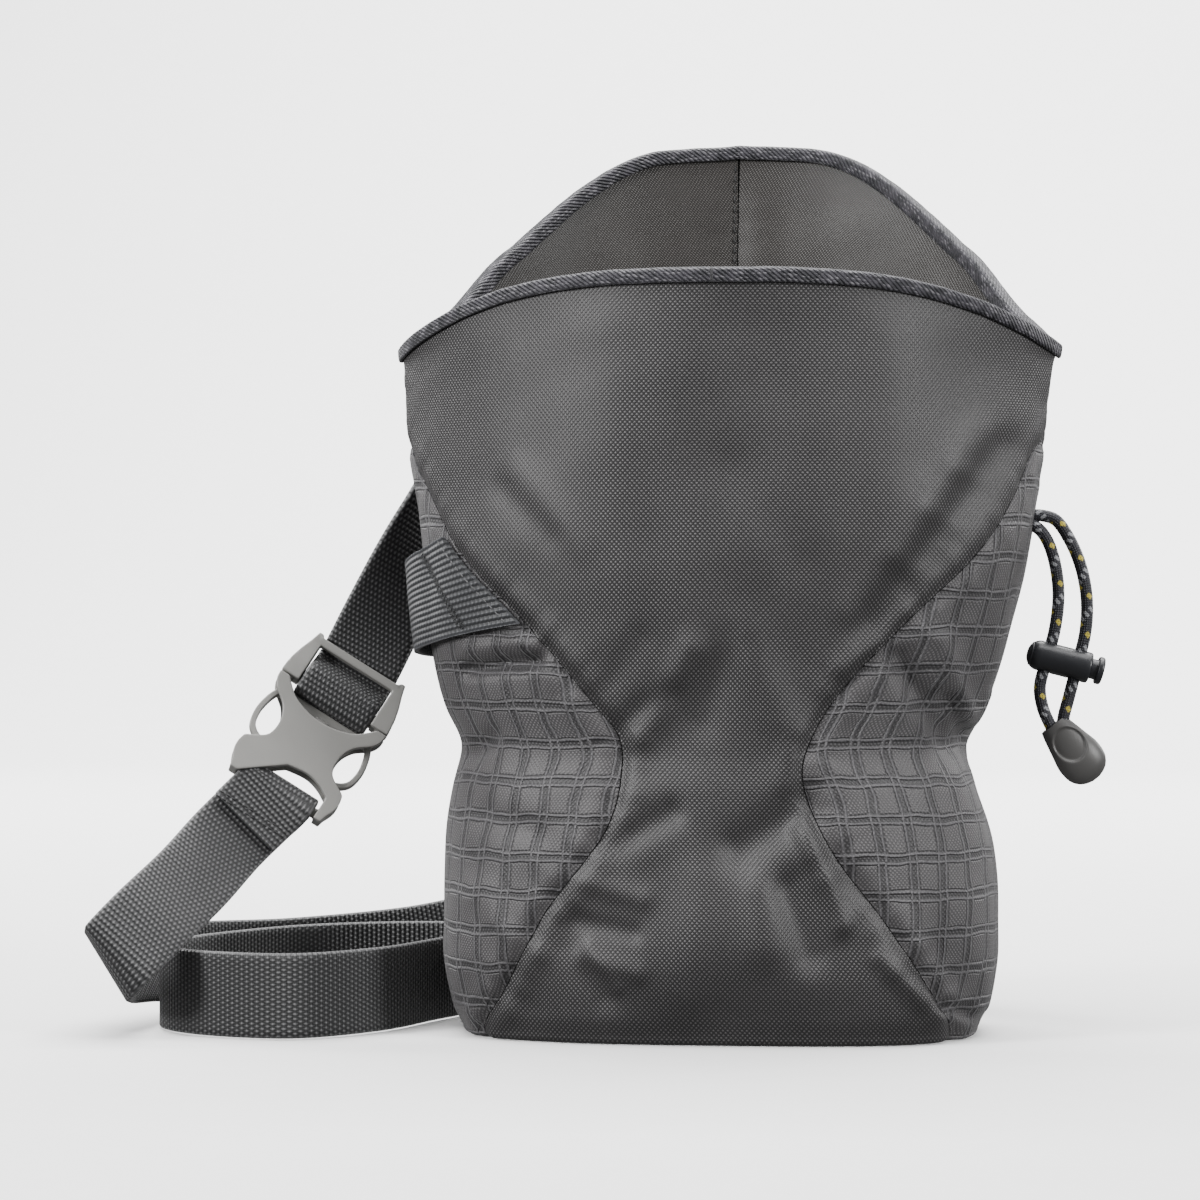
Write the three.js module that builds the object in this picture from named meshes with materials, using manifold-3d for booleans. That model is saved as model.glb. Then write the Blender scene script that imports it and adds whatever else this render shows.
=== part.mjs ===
// A climbing chalk bag with its waist belt, in millimetres.
// +Z is up, the front of the bag looks along -Y, and the origin is the middle of its base.
import * as THREE from 'three';
import { mergeVertices } from 'three/addons/utils/BufferGeometryUtils.js';
import Module from 'manifold-3d';

const wasm = await Module();
wasm.setup();

// Sizes of the bag
const cornerHeight = 163;
const mouthHalfWidth = 78.8;
const halfDepth = 45;
const frontRimRise = 15;
const backRimRise = 53;
const baseThickness = 1.5;
const wallThickness = 1.2;
const facingThickness = 1.0;
const facingDrop = 58;
const facingSlit = 0.6;
const bindingThickness = 1.0;
const bindingLeg = 3.0;
const seamGap = 0.3;
const facingGap = 0.8;

// Sizes of the webbing
const webbingWidth = 20;
const webbingThickness = 1.5;
const brushLoopWidth = 20;
const brushLoopBulge = 3.2;
const beltLoopWidth = 25;
const beltLoopHeight = 34;
const tailLength = 26;

// Sizes of the buckle
const buckleHalfWidth = 15.2;
const buckleHalfThickness = 3.4;
const buckleTop = 20.6;
const buckleFoot = -19.2;
const buckleJoint = 7.55;
const plateThickness = 1.5;
const barRadius = 1.3;
const middleBarHeight = 2.4;
const middleBarDepth = 3.0;
const topBarDepth = 2.0;
const topBarHalfThickness = 1.1;

// Sizes of the drawcord and what is on it
const cordDiameter = 2.9;
const cordClearance = 0.3;
const lockRadius = 3.6;
const lockLength = 15.4;
const lockBoreRadius = 2.8;
const lockEndWall = 0.85;
const plungerRadius = 2.4;
const buttonTravel = 1.3;
const buttonRadius = 3.3;
const buttonThickness = 1.5;
const cordEndLength = 16.4;
const cordEndHalfWidth = 5.7;
const cordEndHalfThickness = 3.5;

const wallFoot = baseThickness + seamGap;
const wallHeight = cornerHeight - wallFoot;

// Level 0 is the foot of the wall and level 1 its rim. Widths and depths are shares of the
// mouth's half width and the half depth; square rounds the corners, lens points the ends.
const sections = [
  { level: 0.00, width: 0.780, front: 0.80, back: 0.80, square: 3.00, lens: 0.00, shift: -0.020 },
  { level: 0.03, width: 0.810, front: 0.84, back: 0.84, square: 2.90, lens: 0.00, shift: -0.020 },
  { level: 0.12, width: 0.842, front: 0.92, back: 0.90, square: 2.60, lens: 0.00, shift: -0.025 },
  { level: 0.26, width: 0.836, front: 0.93, back: 0.92, square: 2.40, lens: 0.00, shift: -0.025 },
  { level: 0.35, width: 0.813, front: 0.90, back: 0.92, square: 2.35, lens: 0.00, shift: -0.028 },
  { level: 0.41, width: 0.788, front: 0.86, back: 0.90, square: 2.30, lens: 0.00, shift: -0.035 },
  { level: 0.47, width: 0.832, front: 0.88, back: 0.92, square: 2.25, lens: 0.00, shift: -0.035 },
  { level: 0.56, width: 0.875, front: 0.92, back: 0.94, square: 2.20, lens: 0.00, shift: -0.028 },
  { level: 0.68, width: 0.917, front: 0.96, back: 0.97, square: 2.10, lens: 0.00, shift: -0.010 },
  { level: 0.80, width: 0.952, front: 0.98, back: 1.00, square: 2.00, lens: 0.12, shift: -0.004 },
  { level: 0.92, width: 0.977, front: 0.99, back: 1.00, square: 2.00, lens: 0.36, shift: -0.004 },
  { level: 1.00, width: 1.000, front: 1.00, back: 1.00, square: 2.00, lens: 0.50, shift: 0.000 },
];

// How far the back rim stands up, from its middle (across 0) to the mouth's corner (across 1).
const backRim = [
  { across: 0.00, rise: 1.000 },
  { across: 0.25, rise: 0.977 },
  { across: 0.37, rise: 0.920 },
  { across: 0.47, rise: 0.830 },
  { across: 0.56, rise: 0.720 },
  { across: 0.69, rise: 0.530 },
  { across: 0.76, rise: 0.430 },
  { across: 0.87, rise: 0.210 },
  { across: 0.95, rise: 0.080 },
  { across: 1.00, rise: 0.000 },
];

// The seams run up the wall at these turns, in degrees from the middle of the front.
const seams = [
  { level: 0.00, left: -57.0, right: 64.0, rear: 124 },
  { level: 0.05, left: -44.0, right: 50.0, rear: 122 },
  { level: 0.12, left: -35.5, right: 39.0, rear: 120 },
  { level: 0.18, left: -30.0, right: 32.0, rear: 119 },
  { level: 0.25, left: -21.8, right: 24.0, rear: 118 },
  { level: 0.31, left: -16.8, right: 19.5, rear: 117 },
  { level: 0.37, left: -15.2, right: 17.5, rear: 116 },
  { level: 0.43, left: -16.0, right: 20.3, rear: 115 },
  { level: 0.48, left: -21.0, right: 24.2, rear: 114 },
  { level: 0.54, left: -29.0, right: 32.0, rear: 112 },
  { level: 0.60, left: -39.0, right: 41.5, rear: 110 },
  { level: 0.70, left: -59.0, right: 59.0, rear: 106 },
  { level: 0.78, left: -71.0, right: 69.5, rear: 100 },
  { level: 0.84, left: -82.0, right: 77.0, rear: 95 },
  { level: 0.88, left: -90.0, right: 90.0, rear: 90 },
  { level: 1.00, left: -90.0, right: 90.0, rear: 90 },
];
const gussetTop = 0.865;

// The levels where the cloth's facets meet, the same on every panel so that seams stay parallel.
const rowLevels = [
  0, 0.03, 0.07, 0.12, 0.17, 0.22, 0.27, 0.32, 0.37, 0.42, 0.47, 0.53, 0.60, 0.68, 0.76, 0.82,
  gussetTop, 0.91, 0.955, 1,
];
const topColumns = 20;

// Dents and soft folds of the cloth. Each runs from one place to another; its depth is a share
// of the half depth, and its spread is in degrees of turn.
const folds = [
  { turn: 62, level: 0.46, toTurn: 96, toLevel: 0.36, spread: 9, depth: 0.055 },
  { turn: 50, level: 0.10, toTurn: 66, toLevel: 0.03, spread: 7, depth: 0.045 },
  { turn: -14, level: 0.40, toTurn: 26, toLevel: 0.60, spread: 8, depth: 0.030 },
  { turn: 6, level: 0.30, toTurn: 22, toLevel: 0.20, spread: 9, depth: 0.035 },
  { turn: -34, level: 0.08, toTurn: -6, toLevel: 0.24, spread: 8, depth: 0.030 },
  { turn: -100, level: 0.40, toTurn: -62, toLevel: 0.43, spread: 8, depth: 0.030 },
];
const foldStretch = 100;

// The table's value at a place, on a smooth curve through its rows.
function along(table, key, name, place) {
  const last = table.length - 1;
  const spot = Math.min(Math.max(place, table[0][key]), table[last][key]);
  let i = 0;
  while (i < last - 1 && spot > table[i + 1][key]) i += 1;
  const slope = (k) => {
    const before = table[Math.max(k - 1, 0)];
    const after = table[Math.min(k + 1, last)];
    const turns = (after[name] - table[k][name]) * (table[k][name] - before[name]) <= 0;
    if (k > 0 && k < last && turns) return 0;
    return (after[name] - before[name]) / (after[key] - before[key]);
  };
  const step = table[i + 1][key] - table[i][key];
  const t = (spot - table[i][key]) / step;
  const t2 = t * t;
  const t3 = t2 * t;
  return (2 * t3 - 3 * t2 + 1) * table[i][name]
    + (t3 - 2 * t2 + t) * step * slope(i)
    + (3 * t2 - 2 * t3) * table[i + 1][name]
    + (t3 - t2) * step * slope(i + 1);
}

function foldDepth(turn, level) {
  let depth = 0;
  for (const fold of folds) {
    const runX = fold.toTurn - fold.turn;
    const runY = (fold.toLevel - fold.level) * foldStretch;
    const awayX = turn - fold.turn;
    const awayY = (level - fold.level) * foldStretch;
    const share = (awayX * runX + awayY * runY) / (runX * runX + runY * runY);
    const near = Math.min(Math.max(share, 0), 1);
    const distance = Math.hypot(awayX - near * runX, awayY - near * runY);
    depth += fold.depth * halfDepth * Math.exp(-((distance / fold.spread) ** 2));
  }
  return depth;
}

// The outside of the bag at a turn (degrees, 0 at the front, 90 at the right) and a level.
function shell(turn, level) {
  const angle = THREE.MathUtils.degToRad(turn);
  const s = Math.sin(angle);
  const c = Math.cos(angle);
  const section = (name) => along(sections, 'level', name, level);
  const power = 2 / section('square');
  const lens = section('lens');
  const bulge = (1 - lens) * Math.abs(c) ** power + lens * c * c;
  const x = mouthHalfWidth * (section('shift')
    + section('width') * Math.sign(s) * Math.abs(s) ** power);
  const y = c > 0 ? -halfDepth * section('front') * bulge : halfDepth * section('back') * bulge;
  const across = Math.min(Math.abs(s), 1);
  const rise = c > 0
    ? frontRimRise * (1 - across ** 3.3)
    : backRimRise * along(backRim, 'across', 'rise', across);
  const blend = Math.max(0, (level - 0.45) / 0.55) ** 1.6;
  const z = wallFoot + level * wallHeight + rise * blend;
  const dent = foldDepth(turn > 180 ? turn - 360 : turn, level);
  return new THREE.Vector3(x - dent * s, y + dent * c, z);
}

function wallAxes(turn, level) {
  const sideStep = 0.4;
  const upStep = 0.004;
  const low = Math.min(Math.max(level - upStep, 0), 1 - 2 * upStep);
  const side = shell(turn + sideStep, level).sub(shell(turn - sideStep, level)).normalize();
  const up = shell(turn, low + 2 * upStep).sub(shell(turn, low)).normalize();
  const out = new THREE.Vector3().crossVectors(side, up).normalize();
  return { side, up: up.crossVectors(out, side), out };
}

// A point under the outside of the bag, or above it where the depth is negative.
function skin(turn, level, depth) {
  return shell(turn, level).addScaledVector(wallAxes(turn, level).out, -depth);
}

// The turn that lies a distance to one side of a turn, at the same level.
function turnBeside(turn, level, distance) {
  const speed = shell(turn + 0.5, level).distanceTo(shell(turn - 0.5, level));
  return turn + distance / speed;
}

function geometryFrom(points, faces) {
  const geometry = new THREE.BufferGeometry();
  const flat = points.flatMap((p) => [p.x, p.y, p.z]);
  geometry.setAttribute('position', new THREE.Float32BufferAttribute(flat, 3));
  geometry.setIndex(faces);
  geometry.computeVertexNormals();
  return geometry;
}

// A closed body of cloth: an outer and an inner face over one grid, joined round the edge.
function clothBody(outerAt, innerAt, columns, rowPlaces) {
  const points = [];
  const faces = [];
  const rows = rowPlaces.length - 1;
  for (const at of [outerAt, innerAt]) {
    for (const place of rowPlaces) {
      for (let i = 0; i <= columns; i += 1) points.push(at(i / columns, place));
    }
  }
  const layer = (columns + 1) * (rows + 1);
  const index = (i, j, inner) => j * (columns + 1) + i + (inner ? layer : 0);
  const quad = (a, b, c, d) => faces.push(a, b, c, a, c, d);
  for (let j = 0; j < rows; j += 1) {
    for (let i = 0; i < columns; i += 1) {
      quad(index(i, j), index(i + 1, j), index(i + 1, j + 1), index(i, j + 1));
      quad(index(i, j, true), index(i, j + 1, true), index(i + 1, j + 1, true), index(i + 1, j, true));
    }
  }
  for (let i = 0; i < columns; i += 1) {
    quad(index(i, 0), index(i, 0, true), index(i + 1, 0, true), index(i + 1, 0));
    quad(index(i, rows), index(i + 1, rows), index(i + 1, rows, true), index(i, rows, true));
  }
  for (let j = 0; j < rows; j += 1) {
    quad(index(0, j), index(0, j + 1), index(0, j + 1, true), index(0, j, true));
    quad(index(columns, j), index(columns, j, true), index(columns, j + 1, true), index(columns, j + 1));
  }
  return geometryFrom(points, faces);
}

function capFaces(ring, first, flip) {
  const normal = new THREE.Vector3();
  ring.forEach((p, i) => normal.add(new THREE.Vector3().crossVectors(p, ring[(i + 1) % ring.length])));
  normal.normalize();
  const u = new THREE.Vector3().subVectors(ring[1], ring[0]).normalize();
  const v = new THREE.Vector3().crossVectors(normal, u);
  const outline = ring.map((p) => new THREE.Vector2(p.dot(u), p.dot(v)));
  return THREE.ShapeUtils.triangulateShape(outline, []).flatMap(([a, b, c]) => (
    flip ? [first + a, first + c, first + b] : [first + a, first + b, first + c]));
}

// A closed body through rings of points, each ring turning left about the way of travel.
function loft(rings, closed) {
  const count = rings[0].length;
  const faces = [];
  const spans = closed ? rings.length : rings.length - 1;
  for (let i = 0; i < spans; i += 1) {
    const here = i * count;
    const next = ((i + 1) % rings.length) * count;
    for (let j = 0; j < count; j += 1) {
      const k = (j + 1) % count;
      faces.push(here + j, here + k, next + k, here + j, next + k, next + j);
    }
  }
  if (!closed) {
    const lastRing = rings.length - 1;
    faces.push(...capFaces(rings[0], 0, true));
    faces.push(...capFaces(rings[lastRing], lastRing * count, false));
  }
  return geometryFrom(rings.flat(), faces);
}

function solidOf(geometry) {
  const bare = new THREE.BufferGeometry();
  bare.setAttribute('position', geometry.getAttribute('position').clone());
  if (geometry.index) bare.setIndex(geometry.index.clone());
  const merged = mergeVertices(bare, 1e-4);
  return new wasm.Manifold(new wasm.Mesh({
    numProp: 3,
    vertProperties: new Float32Array(merged.getAttribute('position').array),
    triVerts: new Uint32Array(merged.index.array),
  }));
}

function geometryOf(solid) {
  const mesh = solid.getMesh();
  const geometry = new THREE.BufferGeometry();
  geometry.setAttribute('position', new THREE.Float32BufferAttribute(mesh.vertProperties, 3));
  geometry.setIndex([...mesh.triVerts]);
  geometry.computeVertexNormals();
  return geometry;
}

// Materials
const clothMaterial = (color) => new THREE.MeshStandardMaterial({ color, roughness: 0.85, metalness: 0 });
const frontCloth = clothMaterial(0x545355);
const ripstop = clothMaterial(0x6a686a);
const backCloth = clothMaterial(0x525153);
const facingCloth = clothMaterial(0x504e4c);
const bindingTape = clothMaterial(0x4b4a50);
const webbing = clothMaterial(0x5c5c5e);
const cordBraid = clothMaterial(0x33323a);
const buckleNylon = new THREE.MeshStandardMaterial({ color: 0xa1a09e, roughness: 0.5, metalness: 0 });
const lockNylon = new THREE.MeshStandardMaterial({ color: 0x404042, roughness: 0.45, metalness: 0 });
const endRubber = new THREE.MeshStandardMaterial({ color: 0x8e8d8b, roughness: 0.6, metalness: 0 });

const bag = new THREE.Group();

function addPiece(parent, name, geometry, material) {
  const mesh = new THREE.Mesh(geometry, material);
  mesh.name = name;
  parent.add(mesh);
  return mesh;
}

// The panels of the bag
const seamAt = (name, level) => along(seams, 'level', name, level);

function wallPanel(startAt, endAt, topLevel, columns) {
  const face = (depth) => (u, level) => {
    const from = turnBeside(startAt(level), level, seamGap / 2);
    const to = turnBeside(endAt(level), level, -seamGap / 2);
    return skin(from + (to - from) * u, level, depth);
  };
  const levels = rowLevels.filter((level) => level <= topLevel);
  return clothBody(face(0), face(wallThickness), columns, levels);
}

addPiece(bag, 'front_panel', wallPanel(
  (level) => seamAt('left', level), (level) => seamAt('right', level), 1, topColumns,
), frontCloth);
addPiece(bag, 'back_panel', wallPanel(
  (level) => seamAt('rear', level), (level) => 360 - seamAt('rear', level), 1, topColumns,
), backCloth);
addPiece(bag, 'side_panel_right', wallPanel(
  (level) => seamAt('right', level), (level) => seamAt('rear', level), gussetTop, 10,
), ripstop);
addPiece(bag, 'side_panel_left', wallPanel(
  (level) => -seamAt('rear', level), (level) => seamAt('left', level), gussetTop, 10,
), ripstop);

function baseRing(height, inset, count) {
  const ring = [];
  for (let i = 0; i < count; i += 1) {
    const point = skin((i / count) * 360, 0, inset);
    ring.push(new THREE.Vector3(point.x, point.y, height));
  }
  return ring;
}

const baseCorners = 56;
addPiece(bag, 'base_panel', loft([
  baseRing(0, wallThickness, baseCorners),
  baseRing(baseThickness / 2, wallThickness / 3, baseCorners),
  baseRing(baseThickness, wallThickness / 3, baseCorners),
], false), frontCloth);

function facingGeometry() {
  const outerDepth = wallThickness + facingGap;
  const lowLevel = 1 - facingDrop / wallHeight;
  const levels = [lowLevel, ...rowLevels.filter((level) => level > lowLevel + 0.02)];
  const face = (depth) => (u, level) => {
    const from = turnBeside(-180, level, facingSlit / 2);
    const to = turnBeside(180, level, -facingSlit / 2);
    return skin(from + (to - from) * u, level, depth);
  };
  return clothBody(face(outerDepth), face(outerDepth + facingThickness), 2 * topColumns, levels);
}
addPiece(bag, 'mouth_facing', facingGeometry(), facingCloth);

// The binding is a channel folded over the rim; its profile goes out from the rim and up.
function bindingGeometry() {
  const rimHalf = (wallThickness + facingGap + facingThickness) / 2;
  const inner = rimHalf + seamGap;
  const outer = inner + bindingThickness;
  const crown = seamGap + bindingThickness;
  const profile = [
    [-outer, -bindingLeg], [-inner, -bindingLeg], [-inner, seamGap], [inner, seamGap],
    [inner, -bindingLeg], [outer, -bindingLeg], [outer, seamGap], [outer * 0.6, crown],
    [-outer * 0.6, crown], [-outer, seamGap],
  ];
  const steps = 72;
  const centre = (turn) => skin(turn, 1, rimHalf);
  const rings = [];
  for (let i = 0; i < steps; i += 1) {
    const turn = (i / steps) * 360;
    const travel = centre(turn + 1).sub(centre(turn - 1)).normalize();
    const out = wallAxes(turn, 1).out;
    const up = new THREE.Vector3().crossVectors(out, travel).normalize();
    const ring = profile.map(([o, u]) => centre(turn).addScaledVector(out, o).addScaledVector(up, u));
    rings.push(ring.reverse());
  }
  return loft(rings, true);
}
addPiece(bag, 'rim_binding', bindingGeometry(), bindingTape);

// The loops that are sewn on the bag: flat at both ends and standing off between them
const standOff = (share, flat) => {
  const inside = Math.min(Math.max((share - flat) / (1 - 2 * flat), 0), 1);
  return Math.sin(Math.PI * inside) ** 1.2;
};

const evenly = (count) => Array.from({ length: count + 1 }, (_, i) => i / count);

function brushLoopGeometry() {
  const farTurn = -126;
  const frontHeight = 0.648;
  const drop = 0.055;
  const halfWidth = brushLoopWidth / 2 / wallHeight;
  const face = (thickness) => (u, v) => {
    const height = frontHeight - drop * (1 - u) + (v - 0.5) * 2 * halfWidth;
    const seam = turnBeside(seamAt('left', height), height, -seamGap * 2);
    const turn = farTurn + (seam - farTurn) * u;
    const rest = -60;
    const share = (turn - farTurn) / (rest - farTurn);
    const off = seamGap + (share < 1 ? brushLoopBulge * standOff(share, 0.12) : 0);
    return skin(turn, height, -off - thickness);
  };
  return clothBody(face(webbingThickness), face(0), 22, evenly(3));
}
addPiece(bag, 'brush_loop', brushLoopGeometry(), webbing);

const beltLoopLevel = 0.815;
const beltOff = 2.4;

function beltLoopGeometry() {
  const halfHeight = beltLoopHeight / 2;
  const rise = shell(180, beltLoopLevel + 0.01).distanceTo(shell(180, beltLoopLevel)) / 0.01;
  const lift = beltOff + webbingThickness / 2 + seamGap;
  const face = (thickness) => (u, v) => {
    const level = beltLoopLevel + ((v - 0.5) * 2 * halfHeight) / rise;
    const turn = turnBeside(180, level, (u - 0.5) * beltLoopWidth);
    const off = seamGap + lift * Math.min(1, 3.2 * standOff(v, 0.04));
    return skin(turn, level, -off - thickness);
  };
  return clothBody(face(webbingThickness), face(0), 4, evenly(16));
}
addPiece(bag, 'belt_loop', beltLoopGeometry(), webbing);

// The buckle lies in a plane that faces the front; its own axes are across, along and out.
const buckleCentre = new THREE.Vector3(-1.273 * mouthHalfWidth, 0.033 * halfDepth, 0.436 * cornerHeight);
const buckleLean = THREE.MathUtils.degToRad(18);
const buckleAcross = new THREE.Vector3(0.8404, 0.0883, -0.5347).normalize();
const buckleAlong = new THREE.Vector3(0.531, 0.0558, 0.8455).normalize();
buckleAlong.applyAxisAngle(buckleAcross, -buckleLean);
const buckleOut = new THREE.Vector3().crossVectors(buckleAcross, buckleAlong).normalize();
const buckleBasis = new THREE.Matrix4().makeBasis(buckleAcross, buckleAlong, buckleOut);
const buckle = new THREE.Group();
buckle.position.copy(buckleCentre);
buckle.quaternion.setFromRotationMatrix(buckleBasis);
bag.add(buckle);

function inBuckle(across, alongIt, out) {
  return buckleCentre.clone().addScaledVector(buckleAcross, across)
    .addScaledVector(buckleAlong, alongIt).addScaledVector(buckleOut, out);
}

function plate(outline, from, to) {
  const shape = new THREE.Shape(outline.map(([x, y]) => new THREE.Vector2(x, y)));
  const geometry = new THREE.ExtrudeGeometry(shape, { depth: to - from, bevelEnabled: false });
  geometry.translate(0, 0, from);
  return solidOf(geometry);
}

const mirrored = (half) => [...half, ...half.filter(([x]) => x > 0).map(([x, y]) => [-x, y]).reverse()];

// Half of the socket's cross-shaped plate, as shares of the buckle's half width and its lengths.
const armGap = webbingWidth / 2 + 3 * seamGap;
const socketHalf = [
  { across: 0.00, along: 0.24 }, { across: 0.26, along: 0.29 }, { across: 0.55, along: 0.50 },
  { across: 0.80, along: 1.00 }, { across: 1.00, along: 1.00 }, { across: 0.91, along: 0.48 },
  { across: 0.67, along: 0.06 }, { across: 0.55, along: -0.42 }, { across: 0.59, along: -0.99 },
  { across: 0.78, along: -1.29 }, { across: 0.92, along: -1.44 }, { across: 0.94, along: -1.90 },
  { across: 0.82, along: -2.54 },
];
const socketCrotch = [
  { across: 0.52, along: -1.56 }, { across: 0.26, along: -1.44 }, { across: 0.00, along: -1.41 },
];

function socketGeometry() {
  const right = socketHalf.map((row) => [row.across * buckleHalfWidth, row.along * buckleJoint]);
  const crotch = socketCrotch.map((row) => [row.across * buckleHalfWidth, row.along * buckleJoint]);
  right.push([armGap, buckleFoot], [armGap, buckleFoot + 5.8], ...crotch);
  const outline = mirrored(right);
  const inside = buckleHalfThickness - plateThickness;
  let solid = plate(outline, inside, buckleHalfThickness);
  solid = solid.add(plate(outline, -buckleHalfThickness, -inside));
  for (const side of [-1, 1]) {
    const x = side * armGap;
    const far = side * buckleHalfWidth * 0.92;
    const cheek = [[x, buckleFoot], [far - side * 1.2, buckleFoot], [far, -13], [far, -10.9], [x, -10.4]];
    solid = solid.add(plate(side > 0 ? cheek : cheek.reverse(), -buckleHalfThickness, buckleHalfThickness));
  }
  const bar = new THREE.CylinderGeometry(barRadius, barRadius, 2 * armGap + 1, 12);
  bar.rotateZ(Math.PI / 2);
  bar.translate(0, buckleFoot + barRadius + 0.4, 0);
  return geometryOf(solid.add(solidOf(bar)));
}
addPiece(buckle, 'buckle_socket', socketGeometry(), buckleNylon);

// The plug: two rails, a top bar, a middle bar, two sprung prongs and a guide tongue.
const middleBarAt = buckleJoint + middleBarDepth / 2;

function ribbon(centreLine, width, from, to) {
  const points = centreLine.map(([x, y]) => new THREE.Vector2(x, y));
  const side = points.map((p, i) => {
    const before = points[Math.max(i - 1, 0)];
    const after = points[Math.min(i + 1, points.length - 1)];
    const way = after.clone().sub(before).normalize();
    return new THREE.Vector2(-way.y, way.x).multiplyScalar(width / 2);
  });
  const left = points.map((p, i) => p.clone().add(side[i]).toArray());
  const right = points.map((p, i) => p.clone().sub(side[i]).toArray());
  return plate([...right, ...left.reverse()], from, to);
}

function plugGeometry() {
  const joint = buckleJoint + seamGap;
  const inner = armGap - seamGap;
  const rimOutline = mirrored([
    [inner, joint], [buckleHalfWidth, joint], [buckleHalfWidth * 0.97, 13.5],
    [buckleHalfWidth * 0.86, 18.4], [buckleHalfWidth * 0.78, buckleTop],
  ]);
  const rimPlate = plate(rimOutline, -buckleHalfThickness, buckleHalfThickness);
  const window = plate(mirrored([
    [inner, joint - 1], [inner, buckleTop - topBarDepth],
  ]), -buckleHalfThickness - 1, buckleHalfThickness + 1);
  const thick = buckleHalfThickness;
  const thin = topBarHalfThickness;
  const sideView = [
    [joint - 1, -thick], [12.5, -thick * 0.8], [buckleTop - topBarDepth, -thin], [buckleTop + 1, -thin],
    [buckleTop + 1, thin], [buckleTop - topBarDepth, thin], [12.5, thick * 0.8], [joint - 1, thick],
  ];
  const wedgeShape = new THREE.Shape(sideView.map(([x, y]) => new THREE.Vector2(x, y)));
  const wedge = new THREE.ExtrudeGeometry(wedgeShape, { depth: 2 * buckleHalfWidth + 2, bevelEnabled: false });
  wedge.applyMatrix4(new THREE.Matrix4().makeBasis(
    new THREE.Vector3(0, 1, 0), new THREE.Vector3(0, 0, 1), new THREE.Vector3(1, 0, 0),
  ));
  wedge.translate(-buckleHalfWidth - 1, 0, 0);
  let solid = rimPlate.subtract(window).intersect(solidOf(wedge));
  const bar = new THREE.BoxGeometry(2 * inner + 1, middleBarDepth, middleBarHeight);
  bar.translate(0, middleBarAt + seamGap, 0);
  solid = solid.add(solidOf(bar));
  const prongHalf = 1.4;
  for (const side of [-1, 1]) {
    const line = [
      [12.4, joint + 1], [12.5, 3.4], [13.5, -1.5], [13.3, -5.4], [11.6, -8.4], [8.6, -9.0],
    ].map(([x, y]) => [side * x, y]);
    solid = solid.add(ribbon(side > 0 ? line : line.reverse(), 1.8, -prongHalf, prongHalf));
  }
  const crossBar = new THREE.BoxGeometry(25, 2.2, middleBarHeight);
  crossBar.translate(0, 3.3, 0);
  const tongue = new THREE.BoxGeometry(4, 9, 2);
  tongue.translate(0, -1.6, 0);
  return geometryOf(solid.add(solidOf(crossBar)).add(solidOf(tongue)));
}
addPiece(buckle, 'buckle_plug', plugGeometry(), buckleNylon);

// The belt. Every row is a place on its middle line and the way that its face looks.
const beltRows = [];
const addRow = (at, face) => beltRows.push({ at, face: face.clone().normalize() });
const strapHalf = webbingThickness / 2;

// The upper strand leaves the plug at this slant, in the buckle's plane.
const upperLean = -5.6;
function buckleRow(alongIt, out, faceAlong, faceOut, lean) {
  const sideways = lean * Math.tan(THREE.MathUtils.degToRad(upperLean));
  const face = buckleAlong.clone().multiplyScalar(faceAlong).addScaledVector(buckleOut, faceOut);
  addRow(inBuckle(sideways, alongIt, out), face);
}

function plugRows() {
  const barHalf = middleBarHeight / 2;
  const wrap = barHalf + seamGap + strapHalf;
  const low = buckleJoint - wrap * 0.75;
  const top = buckleTop - topBarDepth / 2;
  const behindTop = -(topBarHalfThickness + seamGap + strapHalf);
  const tail = behindTop - webbingThickness - seamGap;
  buckleRow(top + tailLength, tail - 1.5, 0, -1, tailLength);
  buckleRow(top + tailLength * 0.5, tail - 0.6, 0, -1, tailLength * 0.5);
  buckleRow(top, tail, 0, -1, 0);
  buckleRow(middleBarAt, -wrap - 0.8, 0, -1, 0);
  buckleRow(low + 0.8, -wrap * 0.8, -0.7, -0.7, 0);
  buckleRow(low, 0, -1, 0, 0);
  buckleRow(low + 0.8, wrap * 0.8, -0.7, 0.7, 0);
  buckleRow(middleBarAt, wrap + 0.15, 0, 1, 0);
  buckleRow(middleBarAt + middleBarDepth * 0.8, wrap + 0.05, 0.3, 1, 0);
  buckleRow(middleBarAt + middleBarDepth * 1.8, 0, 0.6, 0.8, 0);
  buckleRow(top - topBarDepth * 1.2, behindTop + 0.15, 0.3, 1, 0);
  buckleRow(top + topBarDepth, behindTop, 0, 1, topBarDepth);
}

// The upper strand's way from the plug round the left side and over the back of the bag.
const wallRun = [
  { turn: -112, level: 0.745, off: 6.5 },
  { turn: -125, level: 0.800, off: 4.2 },
  { turn: -139, level: 0.820, off: 3.0 },
  { turn: -156, level: 0.820, off: 2.6 },
  { turn: -171, level: 0.815, off: 2.4 },
  { turn: -180, level: 0.815, off: 2.4 },
  { turn: -190, level: 0.815, off: 2.4 },
];

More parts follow.
